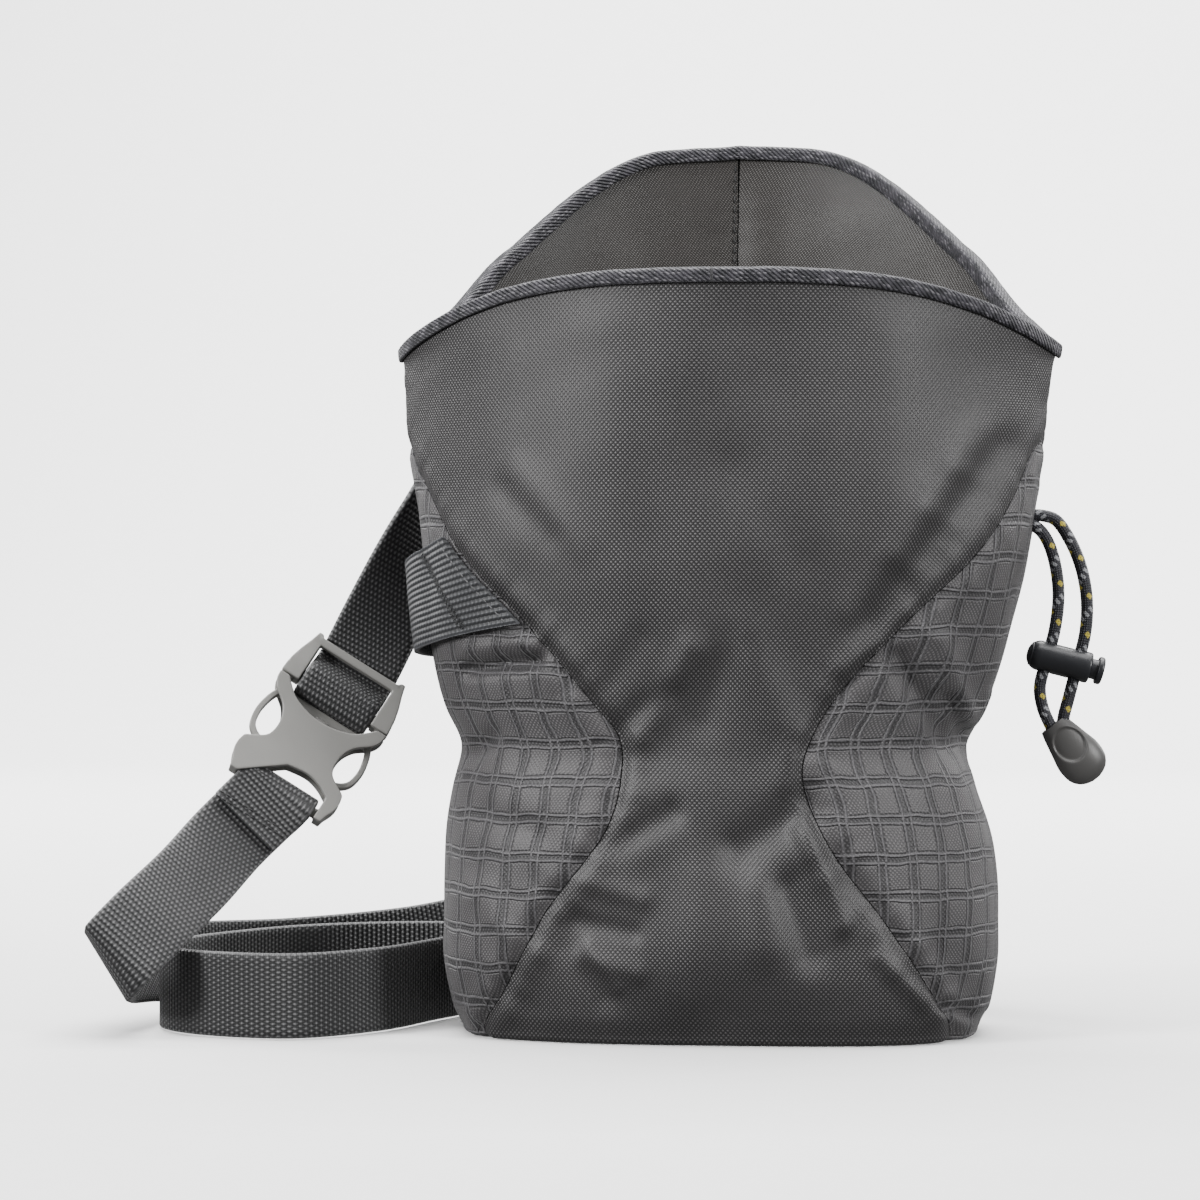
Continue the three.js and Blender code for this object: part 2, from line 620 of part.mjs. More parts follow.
// The free stretches of the belt. Places are shares of the mouth's half width, the half depth,
// the webbing's width and the corner's height; face is the way that the strap's face looks.
const dropRun = [
  { x: 0.37, y: 1.16, lift: 0.0, rise: 0.980, faceX: 0.3, faceY: -0.8, faceZ: 0.5 },
  { x: 0.54, y: 1.24, lift: 0.0, rise: 0.955, faceX: 0.5, faceY: -0.3, faceZ: 0.8 },
  { x: 0.63, y: 1.29, lift: 0.0, rise: 0.860, faceX: 1, faceY: 0, faceZ: 0.15 },
  { x: 0.66, y: 1.30, lift: 0.0, rise: 0.600, faceX: 1, faceY: 0, faceZ: 0 },
  { x: 0.64, y: 1.32, lift: 0.0, rise: 0.280, faceX: 1, faceY: 0, faceZ: 0 },
  { x: 0.60, y: 1.34, lift: 0.6, rise: 0.030, faceX: 1, faceY: 0, faceZ: -0.3 },
  { x: 0.52, y: 1.35, lift: 0.10, rise: 0.006, faceX: 0.5, faceY: 0, faceZ: -1 },
  { x: 0.36, y: 1.34, lift: 0.12, rise: 0.0, faceX: 0, faceY: -0.1, faceZ: -1 },
  { x: 0.16, y: 1.24, lift: 0.38, rise: 0.0, faceX: 0, faceY: -0.7, faceZ: -0.7 },
  { x: -0.06, y: 1.14, lift: 0.52, rise: 0.0, faceX: 0, faceY: -1, faceZ: 0 },
];

const floorRun = [
  { x: -0.28, y: 1.12, lift: 0.52, rise: 0, faceX: 0.3, faceY: -0.95, faceZ: 0 },
  { x: -0.52, y: 1.05, lift: 0.52, rise: 0, faceX: 0.65, faceY: -0.75, faceZ: 0 },
  { x: -0.77, y: 0.74, lift: 0.52, rise: 0, faceX: 0.8, faceY: -0.6, faceZ: 0 },
  { x: -0.90, y: 0.26, lift: 0.52, rise: 0, faceX: 0.92, faceY: -0.4, faceZ: 0 },
  { x: -1.04, y: -0.36, lift: 0.52, rise: 0, faceX: 0.83, faceY: -0.55, faceZ: 0 },
  { x: -1.26, y: -0.74, lift: 0.52, rise: 0, faceX: 0.3, faceY: -0.95, faceZ: 0 },
  { x: -1.52, y: -0.66, lift: 0.52, rise: 0, faceX: 0.2, faceY: -1, faceZ: 0 },
  { x: -1.68, y: -0.42, lift: 0.52, rise: 0, faceX: -0.5, faceY: -0.9, faceZ: 0 },
  { x: -1.726, y: -0.15, lift: 0.52, rise: 0, faceX: -1, faceY: 0, faceZ: 0 },
  { x: -1.69, y: 0.16, lift: 0.52, rise: 0, faceX: -0.8, faceY: 0.6, faceZ: 0 },
  { x: -1.60, y: 0.50, lift: 0.52, rise: 0, faceX: -0.6, faceY: 0.8, faceZ: 0 },
  { x: -1.40, y: 0.98, lift: 0.52, rise: 0, faceX: -0.4, faceY: 1, faceZ: 0 },
  { x: -1.10, y: 1.24, lift: 0.52, rise: 0, faceX: -0.1, faceY: 1, faceZ: 0 },
  { x: -0.72, y: 1.26, lift: 0.52, rise: 0, faceX: 0, faceY: 1, faceZ: 0 },
  { x: -0.38, y: 1.28, lift: 0.52, rise: 0, faceX: 0, faceY: 1, faceZ: 0 },
  { x: -0.20, y: 1.35, lift: 0.53, rise: 0, faceX: -0.36, faceY: 0.93, faceZ: 0 },
  { x: -0.16, y: 1.43, lift: 0.55, rise: 0, faceX: -1, faceY: 0, faceZ: 0 },
  { x: -0.20, y: 1.51, lift: 0.60, rise: 0, faceX: -0.3, faceY: -0.95, faceZ: 0 },
  { x: -0.40, y: 1.56, lift: 0.80, rise: 0, faceX: 0, faceY: -1, faceZ: 0 },
  { x: -0.72, y: 1.53, lift: 0.92, rise: 0, faceX: 0, faceY: -1, faceZ: 0 },
  { x: -1.12, y: 1.47, lift: 0.66, rise: 0, faceX: 0, faceY: -1, faceZ: 0 },
  { x: -1.48, y: 1.20, lift: 0.56, rise: 0, faceX: 0.4, faceY: -1, faceZ: -0.05 },
  { x: -1.70, y: 0.62, lift: 0.62, rise: 0, faceX: 0.9, faceY: -0.4, faceZ: 0.15 },
  { x: -1.81, y: -0.06, lift: 0.72, rise: 0, faceX: 0.95, faceY: -0.1, faceZ: 0.5 },
  { x: -1.845, y: -0.52, lift: 0.79, rise: 0, faceX: 0.8, faceY: 0.3, faceZ: 0.5 },
  { x: -1.79, y: -0.84, lift: 0.98, rise: 0, faceX: 0.2, faceY: 0.95, faceZ: 0.1 },
  { x: -1.707, y: -0.75, lift: 0.50, rise: 0.104, faceX: -0.41, faceY: 0.81, faceZ: -0.41 },
  { x: -1.60, y: -0.46, lift: 0.00, rise: 0.225, faceX: -0.49, faceY: 0.70, faceZ: -0.50 },
];

function freeRows(run) {
  for (const row of run) {
    const at = new THREE.Vector3(
      row.x * mouthHalfWidth,
      row.y * halfDepth,
      row.lift * webbingWidth + row.rise * cornerHeight,
    );
    addRow(at, new THREE.Vector3(row.faceX, row.faceY, row.faceZ));
  }
}

function wallRows() {
  for (const row of wallRun) {
    const face = wallAxes(row.turn, row.level).out.negate();
    addRow(skin(row.turn, row.level, -row.off), face);
  }
}

// The lower strand comes up behind the socket's bar, goes round it and ends sewn to itself.
const sewnLap = 11;
const lowerLean = 12.6;
function socketRows() {
  const barAt = buckleFoot + barRadius + 0.4;
  const wrap = barRadius + 1.5 * seamGap + strapHalf;
  const lean = Math.tan(THREE.MathUtils.degToRad(lowerLean));
  const row = (alongIt, out, faceAlong, faceOut) => {
    const below = Math.max(0, barAt - alongIt);
    const face = buckleAlong.clone().multiplyScalar(faceAlong).addScaledVector(buckleOut, faceOut);
    addRow(inBuckle(-below * lean, alongIt, out), face);
  };
  const layer = webbingThickness + seamGap;
  row(barAt - sewnLap - 5, -layer / 2 - 0.3, 0, -1);
  row(barAt - sewnLap * 0.6, -layer / 2 - 0.2, 0, -1);
  for (const degrees of [-90, -45, 0, 45, 90]) {
    const angle = THREE.MathUtils.degToRad(degrees);
    const [up, out] = [Math.cos(angle), Math.sin(angle)];
    row(barAt + up * wrap, out * wrap, up, out);
  }
  row(barAt - sewnLap * 0.6, layer / 2 + 0.2, 0, 1);
  row(barAt - sewnLap, layer / 2, 0, 1);
}

function beltGeometry() {
  plugRows();
  wallRows();
  freeRows(dropRun);
  freeRows(floorRun);
  socketRows();
  const curve = new THREE.CatmullRomCurve3(beltRows.map((row) => row.at), false, 'centripetal');
  const spans = beltRows.length - 1;
  const rings = [];
  const stepLength = 8;
  for (let i = 0; i <= spans; i += 1) {
    const here = beltRows[i];
    const next = beltRows[Math.min(i + 1, spans)];
    const steps = i === spans ? 1 : Math.max(1, Math.round(here.at.distanceTo(next.at) / stepLength));
    for (let k = 0; k < steps; k += 1) {
      const t = (i + k / steps) / spans;
      const travel = curve.getTangent(Math.min(Math.max(t, 1e-4), 1 - 1e-4));
      const face = here.face.clone().lerp(next.face, k / steps);
      face.addScaledVector(travel, -face.dot(travel)).normalize();
      const across = new THREE.Vector3().crossVectors(travel, face).normalize();
      const at = curve.getPoint(t);
      rings.push([[-1, -1], [-1, 1], [1, 1], [1, -1]].map(([a, f]) => at.clone()
        .addScaledVector(across, (a * webbingWidth) / 2)
        .addScaledVector(face, f * strapHalf)));
    }
  }
  return loft(rings, false);
}
addPiece(bag, 'waist_belt', beltGeometry(), webbing);

// The drawcord leaves the right side and runs through the lock to its end piece.
const outerCordPoints = [
  { x: 75.4, y: -1.2, z: 123.0 }, { x: 78.2, y: -1.0, z: 122.0 }, { x: 81.4, y: -0.5, z: 117.6 },
  { x: 84.2, y: -0.3, z: 110.9 }, { x: 85.6, y: -0.2, z: 103.0 }, { x: 85.2, y: -0.3, z: 95.1 },
  { x: 83.3, y: -0.4, z: 87.6 }, { x: 81.4, y: -0.5, z: 80.1 }, { x: 80.2, y: -0.8, z: 75.6 },
];
const innerCordPoints = [
  { x: 74.9, y: -1.4, z: 119.2 }, { x: 76.6, y: -1.2, z: 116.4 }, { x: 78.2, y: -0.9, z: 111.0 },
  { x: 78.9, y: -0.8, z: 104.0 }, { x: 78.1, y: -1.0, z: 96.4 }, { x: 76.3, y: -1.1, z: 89.4 },
  { x: 74.5, y: -1.2, z: 82.3 }, { x: 75.2, y: -1.3, z: 77.4 }, { x: 76.4, y: -1.2, z: 74.4 },
];

function cordGeometry(points) {
  const curve = new THREE.CatmullRomCurve3(points.map((p) => new THREE.Vector3(p.x, p.y, p.z)));
  const sides = 8;
  const ring = [];
  for (let i = 0; i < sides; i += 1) {
    const angle = (i / sides) * 2 * Math.PI;
    ring.push(new THREE.Vector2(Math.cos(angle), Math.sin(angle)).multiplyScalar(cordDiameter / 2));
  }
  return new THREE.ExtrudeGeometry(new THREE.Shape(ring), { steps: 20, extrudePath: curve });
}
addPiece(bag, 'drawcord_outer', cordGeometry(outerCordPoints), cordBraid);
addPiece(bag, 'drawcord_inner', cordGeometry(innerCordPoints), cordBraid);

// The lock: a barrel that both strands cross, closed at its left end, with a sprung plunger.
const lockAxis = new THREE.Vector3(16.3, 1.7, -4.2).normalize();
const lockCentre = new THREE.Vector3(79.65, -0.75, 88.5);
const lock = new THREE.Group();
lock.position.copy(lockCentre);
lock.quaternion.setFromUnitVectors(new THREE.Vector3(1, 0, 0), lockAxis);
bag.add(lock);
const cordPlaces = [-3.5, 3.75];
const cordHole = cordDiameter / 2 + cordClearance;
const lockStart = -8.45;

function rod(profile, sides) {
  const geometry = new THREE.LatheGeometry(profile.map(([r, x]) => new THREE.Vector2(r, x)), sides);
  geometry.rotateZ(-Math.PI / 2);
  return solidOf(geometry);
}

function crossHole(place) {
  const geometry = new THREE.CylinderGeometry(cordHole, cordHole, 4 * lockRadius, 10);
  geometry.rotateX(Math.PI / 2);
  geometry.translate(place, 0, 0);
  return solidOf(geometry);
}

function lockGeometry() {
  const lockEnd = lockStart + lockLength;
  const round = 1.0;
  let solid = rod([
    [0, lockStart], [lockRadius - round, lockStart], [lockRadius, lockStart + round],
    [lockRadius, lockEnd - round / 2], [lockRadius - round / 2, lockEnd], [0, lockEnd],
  ], 16);
  solid = solid.subtract(rod([
    [0, lockStart + lockEndWall], [lockBoreRadius, lockStart + lockEndWall],
    [lockBoreRadius, lockEnd + 1], [0, lockEnd + 1],
  ], 16));
  for (const place of cordPlaces) solid = solid.subtract(crossHole(place));
  return geometryOf(solid);
}
addPiece(lock, 'cord_lock', lockGeometry(), lockNylon);

function buttonGeometry() {
  const lockEnd = lockStart + lockLength;
  const tip = lockStart + lockEndWall + buttonTravel + seamGap;
  const cap = lockEnd + buttonTravel + seamGap;
  const capEnd = cap + buttonThickness;
  let solid = rod([
    [0, tip], [plungerRadius, tip], [plungerRadius, cap], [buttonRadius, cap],
    [buttonRadius, capEnd - 0.5], [buttonRadius - 0.5, capEnd], [0, capEnd],
  ], 16);
  const slotEnd = cordPlaces[1] + cordHole + buttonTravel;
  const slot = new THREE.BoxGeometry(slotEnd - tip + 1, 2 * cordHole, 4 * plungerRadius);
  slot.translate((slotEnd + tip - 1) / 2, 0, 0);
  solid = solid.subtract(solidOf(slot));
  return geometryOf(solid);
}
addPiece(lock, 'lock_button', buttonGeometry(), lockNylon);

// The end piece is a soft drop, widest near its lower end.
const dropStations = [
  { along: 0.00, width: 0.62, thick: 0.62 },
  { along: 0.12, width: 0.70, thick: 0.74 },
  { along: 0.36, width: 0.86, thick: 0.92 },
  { along: 0.62, width: 1.00, thick: 1.00 },
  { along: 0.82, width: 0.90, thick: 0.86 },
  { along: 0.94, width: 0.62, thick: 0.60 },
  { along: 1.00, width: 0.28, thick: 0.28 },
];

function cordEndGeometry() {
  const start = new THREE.Vector3(77.6, -1.0, 73.4);
  const travel = new THREE.Vector3(0.62, 0.06, -0.78).normalize();
  const out = new THREE.Vector3(0.05, -1, 0);
  out.addScaledVector(travel, -out.dot(travel)).normalize();
  const side = new THREE.Vector3().crossVectors(travel, out);
  const sides = 14;
  const rings = dropStations.map((row) => {
    const ring = [];
    for (let i = 0; i < sides; i += 1) {
      const angle = (i / sides) * 2 * Math.PI;
      ring.push(start.clone().addScaledVector(travel, row.along * cordEndLength)
        .addScaledVector(out, Math.cos(angle) * row.thick * cordEndHalfThickness)
        .addScaledVector(side, Math.sin(angle) * row.width * cordEndHalfWidth));
    }
    return ring;
  });
  return loft(rings, false);
}
addPiece(bag, 'cord_end', cordEndGeometry(), endRubber);

export default bag;
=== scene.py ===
import math

import bpy
import numpy as np
from mathutils import Matrix, Vector


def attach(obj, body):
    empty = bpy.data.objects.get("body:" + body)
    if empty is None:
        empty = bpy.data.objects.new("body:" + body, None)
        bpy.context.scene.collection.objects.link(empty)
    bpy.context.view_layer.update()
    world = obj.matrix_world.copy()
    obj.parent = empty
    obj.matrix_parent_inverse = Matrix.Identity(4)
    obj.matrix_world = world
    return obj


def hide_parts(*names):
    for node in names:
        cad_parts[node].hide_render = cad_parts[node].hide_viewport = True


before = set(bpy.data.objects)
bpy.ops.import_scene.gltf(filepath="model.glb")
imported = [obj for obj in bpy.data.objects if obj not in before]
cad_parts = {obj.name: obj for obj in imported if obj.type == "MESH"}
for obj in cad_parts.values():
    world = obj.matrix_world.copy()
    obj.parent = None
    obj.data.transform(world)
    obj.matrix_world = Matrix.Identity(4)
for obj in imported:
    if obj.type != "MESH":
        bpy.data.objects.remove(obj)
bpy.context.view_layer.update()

# All lengths below are in millimetres, and MM turns them to metres.
MM = 0.001

# Sizes of the bag, the same as in the part's source
CORNER_HEIGHT = 163.0
MOUTH_HALF_WIDTH = 78.8
HALF_DEPTH = 45.0
FRONT_RIM_RISE = 15.0
BACK_RIM_RISE = 53.0
WALL_THICKNESS = 1.2
FACING_THICKNESS = 1.0
FACING_DROP = 58.0
FACING_SLIT = 0.6
SLIT_DEGREE = 0.9
SEAM_GAP = 0.3
FACING_GAP = 0.8
WALL_FOOT = 1.8
WALL_HEIGHT = CORNER_HEIGHT - WALL_FOOT
GUSSET_TOP = 0.865
FOOT_ROUNDING = 1.55
RIM_RISE_FROM = 0.45
RIM_RISE_POWER = 1.6
FRONT_RIM_POWER = 3.3

# Sizes of the webbing
WEBBING_WIDTH = 20.0
WEBBING_THICKNESS = 1.5
BRUSH_LOOP_BULGE = 3.2
BELT_LOOP_WIDTH = 25.0
BELT_LOOP_HEIGHT = 34.0
BELT_LOOP_RUN = 40.0
WEBBING_PATTERN = 19.6
TAIL_LENGTH = 26.0

# Sizes of the buckle
BUCKLE_HALF_WIDTH = 15.2
BUCKLE_HALF_THICKNESS = 3.4
BUCKLE_TOP = 20.6
BUCKLE_FOOT = -19.2
BUCKLE_JOINT = 7.55
PLATE_THICKNESS = 1.5
BAR_RADIUS = 1.3
MIDDLE_BAR_HEIGHT = 2.4
MIDDLE_BAR_DEPTH = 3.0
TOP_BAR_DEPTH = 2.0
TOP_BAR_HALF_THICKNESS = 1.1
FOOT_BAR = BUCKLE_FOOT + BAR_RADIUS + 0.4
WEBBING_LAYER = WEBBING_THICKNESS + SEAM_GAP
PRONG_WIDTH = 1.5
PRONG_HALF_THICKNESS = 1.4

# Sizes of the drawcord and of what is on it
CORD_DIAMETER = 2.9
SHEATH_YARNS = 8
LOCK_RADIUS = 3.6
LOCK_START = -8.45
LOCK_LENGTH = 15.4
LOCK_BORE_RADIUS = 2.8
LOCK_END_WALL = 0.85
PLUNGER_RADIUS = 2.4
BUTTON_TRAVEL = 1.3
BUTTON_RADIUS = 3.3
BUTTON_THICKNESS = 1.5
CORD_END_LENGTH = 16.4
CORD_END_HALF_WIDTH = 5.7
CORD_END_HALF_THICKNESS = 3.5

# Level, width, front, back, square, lens, shift: the bag's section at each level of the wall
SECTIONS = (
    (0.00, 0.780, 0.80, 0.80, 3.00, 0.00, -0.020),
    (0.03, 0.810, 0.84, 0.84, 2.90, 0.00, -0.020),
    (0.12, 0.842, 0.92, 0.90, 2.60, 0.00, -0.025),
    (0.26, 0.836, 0.93, 0.92, 2.40, 0.00, -0.025),
    (0.35, 0.813, 0.90, 0.92, 2.35, 0.00, -0.028),
    (0.41, 0.788, 0.86, 0.90, 2.30, 0.00, -0.035),
    (0.47, 0.832, 0.88, 0.92, 2.25, 0.00, -0.035),
    (0.56, 0.875, 0.92, 0.94, 2.20, 0.00, -0.028),
    (0.68, 0.917, 0.96, 0.97, 2.10, 0.00, -0.010),
    (0.80, 0.952, 0.98, 1.00, 2.00, 0.12, -0.004),
    (0.92, 0.977, 0.99, 1.00, 2.00, 0.36, -0.004),
    (1.00, 1.000, 1.00, 1.00, 2.00, 0.50, 0.000),
)

# Across, rise: how far the back rim stands up between its middle and the mouth's corner
BACK_RIM = (
    (0.00, 1.000), (0.25, 0.977), (0.37, 0.920), (0.47, 0.830), (0.56, 0.720),
    (0.69, 0.530), (0.76, 0.430), (0.87, 0.210), (0.95, 0.080), (1.00, 0.000),
)

# Level, left, right, rear: the turns in degrees that the seams run up the wall at
SEAMS = (
    (0.00, -57.0, 64.0, 124.0),
    (0.05, -44.0, 50.0, 122.0),
    (0.12, -35.5, 39.0, 120.0),
    (0.18, -30.0, 32.0, 119.0),
    (0.25, -21.8, 24.0, 118.0),
    (0.31, -16.8, 19.5, 117.0),
    (0.37, -15.2, 17.5, 116.0),
    (0.43, -16.0, 20.3, 115.0),
    (0.48, -21.0, 24.2, 114.0),
    (0.54, -29.0, 32.0, 112.0),
    (0.60, -39.0, 41.5, 110.0),
    (0.70, -59.0, 59.0, 106.0),
    (0.78, -71.0, 69.5, 100.0),
    (0.84, -82.0, 77.0, 95.0),
    (0.88, -90.0, 90.0, 90.0),
    (1.00, -90.0, 90.0, 90.0),
)

# Turn, level, to turn, to level, spread, depth: the bag's main dents
FOLDS = (
    (62, 0.46, 96, 0.36, 9, 0.055),
    (50, 0.10, 66, 0.03, 7, 0.045),
    (-14, 0.40, 26, 0.60, 8, 0.030),
    (6, 0.30, 22, 0.20, 9, 0.035),
    (-34, 0.08, -6, 0.24, 8, 0.030),
    (-100, 0.40, -62, 0.43, 8, 0.030),
)
FOLD_STRETCH = 100.0

# Small creases as they are seen from the front: from and to place in the picture's columns and
# rows, spread in its pixels, and height in millimetres, below zero for a valley
CREASES = (
    (738, 220, 745, 460, 50, -1.0),
    (590, 220, 600, 560, 50, 0.8),
    (900, 240, 900, 500, 52, 0.8),
    (494, 487, 545, 535, 16, -0.5),
    (510, 470, 580, 545, 18, 0.4),
    (735, 470, 800, 560, 24, -0.4),
    (1003, 445, 873, 625, 20, -1.3),
    (980, 430, 850, 610, 18, 0.8),
    (985, 480, 950, 466, 12, 0.35),
    (955, 525, 920, 508, 12, 0.35),
    (925, 575, 890, 554, 12, 0.35),
    (903, 612, 872, 650, 11, 0.45),
    (885, 640, 840, 668, 12, 0.45),
    (620, 722, 665, 695, 14, -0.8),
    (600, 690, 640, 640, 17, -0.5),
    (640, 735, 690, 650, 16, 1.0),
    (700, 720, 730, 640, 20, -0.9),
    (806, 806, 740, 850, 22, -2.1),
    (800, 760, 740, 640, 26, 1.3),
    (612, 845, 668, 815, 16, -1.4),
    (570, 880, 640, 900, 12, 0.8),
    (572, 925, 630, 935, 11, -0.7),
    (580, 960, 635, 975, 11, 0.7),
    (803, 831, 842, 925, 13, 1.5),
    (786, 890, 812, 955, 18, -1.6),
    (760, 895, 765, 945, 22, 1.0),
    (586, 950, 614, 990, 9, 0.6),
    (560, 930, 600, 1000, 16, -0.7),
    (700, 880, 690, 990, 30, 0.9),
    (880, 960, 940, 1022, 10, 0.9),
    (945, 1012, 985, 1034, 7, -1.4),
    (450, 672, 530, 662, 8, -2.2),
    (452, 650, 530, 642, 8, 0.7),
    (900, 660, 950, 745, 13, -2.0),
    (940, 640, 962, 720, 12, 1.3),
    (946, 700, 974, 755, 8, -1.6),
    (990, 700, 976, 748, 8, 0.8),
    (478, 742, 455, 760, 10, -1.2),
    (470, 820, 530, 835, 16, -0.8),
    (470, 900, 520, 960, 18, 0.7),
)
CREASE_STRENGTH = 1.2
# Height, length and seed of the soft waves in the panels and in the binding
CLOTH_WAVES = ((0.36, 38, 3), (0.08, 15, 5))
BINDING_WAVES = ((0.10, 13, 11), (0.05, 5, 12))
# Millimetres of the bag's front to one of the picture's pixels
FRONT_PIXEL = 0.228

# Camera: level, a little to the right of the bag, at the photograph's distance
CAMERA_PLACE = (0.0637, -0.8983, 0.1030)
CAMERA_TURN = math.radians(6)
CAMERA_FOCUS = 3750.0
PICTURE_MIDDLE = 600.0

camera_data = bpy.data.cameras.new("camera")
camera_data.sensor_fit = "HORIZONTAL"
camera_data.sensor_width = 36
camera_data.lens = 112.5
camera_data.clip_start = 0.01
camera = bpy.data.objects.new("camera", camera_data)
camera.location = CAMERA_PLACE
camera.rotation_euler = (math.pi / 2, 0, CAMERA_TURN)
bpy.context.scene.collection.objects.link(camera)
bpy.context.scene.camera = camera


def seen(column, row):
    """The x and z on the front of the bag that the picture shows at a column and a row."""
    depth = -CAMERA_PLACE[1] / MM - HALF_DEPTH * 0.9
    step = depth / CAMERA_FOCUS
    x = CAMERA_PLACE[0] / MM - math.sin(CAMERA_TURN) * depth
    x += math.cos(CAMERA_TURN) * (column - PICTURE_MIDDLE) * step
    return np.array([x, CAMERA_PLACE[2] / MM + (PICTURE_MIDDLE - row) * step])


# The surface of the bag
def smooth_table(rows, column):
    """A smooth curve through one column of a table; its first column holds the places."""
    keys = np.array([row[0] for row in rows], float)
    values = np.array([row[column] for row in rows], float)
    last = len(keys) - 1
    slopes = np.zeros(last + 1)
    for k in range(last + 1):
        before = max(k - 1, 0)
        after = min(k + 1, last)
        turns = (values[after] - values[k]) * (values[k] - values[before]) <= 0
        if not (0 < k < last and turns):
            slopes[k] = (values[after] - values[before]) / (keys[after] - keys[before])

    def at(place):
        spot = np.clip(place, keys[0], keys[last])
        i = np.clip(np.searchsorted(keys, spot, side="left") - 1, 0, last - 1)
        step = keys[i + 1] - keys[i]
        t = (spot - keys[i]) / step
        t2 = t * t
        t3 = t2 * t
        return (
            (2 * t3 - 3 * t2 + 1) * values[i] + (t3 - 2 * t2 + t) * step * slopes[i]
            + (3 * t2 - 2 * t3) * values[i + 1] + (t3 - t2) * step * slopes[i + 1]
        )

    return at


width_at = smooth_table(SECTIONS, 1)
front_at = smooth_table(SECTIONS, 2)
back_at = smooth_table(SECTIONS, 3)
square_at = smooth_table(SECTIONS, 4)
lens_at = smooth_table(SECTIONS, 5)
shift_at = smooth_table(SECTIONS, 6)
back_rim_at = smooth_table(BACK_RIM, 1)
left_seam_at = smooth_table(SEAMS, 1)
right_seam_at = smooth_table(SEAMS, 2)
rear_seam_at = smooth_table(SEAMS, 3)


def smooth_step(low, high, value):
    t = np.clip((value - low) / (high - low), 0, 1)
    return t * t * (3 - 2 * t)


def unit(vectors):
    vectors = np.asarray(vectors, float)
    return vectors / np.linalg.norm(vectors, axis=-1, keepdims=True)


def hump(away, width):
    """A rounded hump over a distance: 1 at its middle, and nearly 0 past twice its width."""
    return np.exp(-((away / width) ** 2))


def run_along(line):
    """How far along a line each of its places lies."""
    return np.concatenate([[0], np.cumsum(np.linalg.norm(np.diff(line, axis=0), axis=1))])


def round_angles(count):
    """This many angles in radians, evenly round a circle."""
    return 2 * math.pi * np.arange(count) / count


def from_segment(x, y, start, end):
    """How far each place lies from the line between two places."""
    run = np.subtract(end, start)
    share = ((x - start[0]) * run[0] + (y - start[1]) * run[1]) / (run @ run)
    near = np.clip(share, 0, 1)
    return np.hypot(x - start[0] - near * run[0], y - start[1] - near * run[1])


def fold_depth(turn, level):
    depth = np.zeros(np.shape(turn))
    for start, low, end, high, spread, share in FOLDS:
        ends = (start, low * FOLD_STRETCH), (end, high * FOLD_STRETCH)
        away = from_segment(turn, level * FOLD_STRETCH, *ends)
        depth = depth + share * HALF_DEPTH * hump(away, spread)
    return depth


def shell(turn, level):
    """The outside of the bag at a turn (degrees, 0 at the front) and a level (0 foot, 1 rim)."""
    turn, level = np.broadcast_arrays(np.asarray(turn, float), np.asarray(level, float))
    angle = np.radians(turn)
    s = np.sin(angle)
    c = np.cos(angle)
    power = 2 / square_at(level)
    lens = lens_at(level)
    bulge = (1 - lens) * np.abs(c) ** power + lens * c * c
    x = MOUTH_HALF_WIDTH * (shift_at(level) + width_at(level) * np.sign(s) * np.abs(s) ** power)
    y = np.where(c > 0, -HALF_DEPTH * front_at(level) * bulge, HALF_DEPTH * back_at(level) * bulge)
    across = np.minimum(np.abs(s), 1)
    front_rise = FRONT_RIM_RISE * (1 - across ** FRONT_RIM_POWER)
    back_rise = BACK_RIM_RISE * back_rim_at(across)
    rise = np.where(c > 0, front_rise, back_rise)
    blend = np.maximum(0, (level - RIM_RISE_FROM) / (1 - RIM_RISE_FROM)) ** RIM_RISE_POWER
    z = WALL_FOOT + level * WALL_HEIGHT + rise * blend
    dent = fold_depth(np.where(turn > 180, turn - 360, turn), level)
    return np.stack([x - dent * s, y + dent * c, z], -1)


def wall_axes(turn, level):
    turn, level = np.broadcast_arrays(np.asarray(turn, float), np.asarray(level, float))
    low = np.clip(level - 0.004, 0, 0.992)
    side = unit(shell(turn + 0.4, level) - shell(turn - 0.4, level))
    up = unit(shell(turn, low + 0.008) - shell(turn, low))
    out = unit(np.cross(side, up))
    return side, np.cross(out, side), out


def ripple(points, length, seed):
    """A soft uneven wave over space, about one high, with waves of about this length."""
    source = np.random.default_rng(seed)
    total = np.zeros(points.shape[:-1])
    count = 7
    for _ in range(count):
        way = unit(source.normal(size=3))
        wave = 2 * math.pi / (length * source.uniform(0.75, 1.4))
        total += np.sin(points @ way * wave + source.uniform(0, 2 * math.pi))
    return total / math.sqrt(count)


def waves(points, table):
    return sum(height * ripple(points, length, seed) for height, length, seed in table)


def relief(points, level):
    """How far the cloth's creases stand out of the bag's plain surface."""
    height = waves(points, CLOTH_WAVES)
    facing = smooth_step(4, -8, points[..., 1])
    for column, row, to_column, to_row, spread, rise in CREASES:
        away = from_segment(points[..., 0], points[..., 2], seen(column, row), seen(to_column, to_row))
        height = height + facing * CREASE_STRENGTH * rise * hump(away, spread * FRONT_PIXEL)
    return height * smooth_step(1.0, 0.93, level) * smooth_step(-0.01, 0.04, level)


def skin(turn, level, depth):
    """A point under the outside of the cloth, or above it where the depth is below zero."""
    base = shell(turn, level)
    out = wall_axes(turn, level)[2]
    rise = relief(base, np.broadcast_to(level, base.shape[:-1]))
    return base + out * (rise - np.asarray(depth, float))[..., None]


def turn_beside(turn, level, distance):
    speed = np.linalg.norm(shell(turn + 0.5, level) - shell(turn - 0.5, level), axis=-1)
    return turn + distance / speed


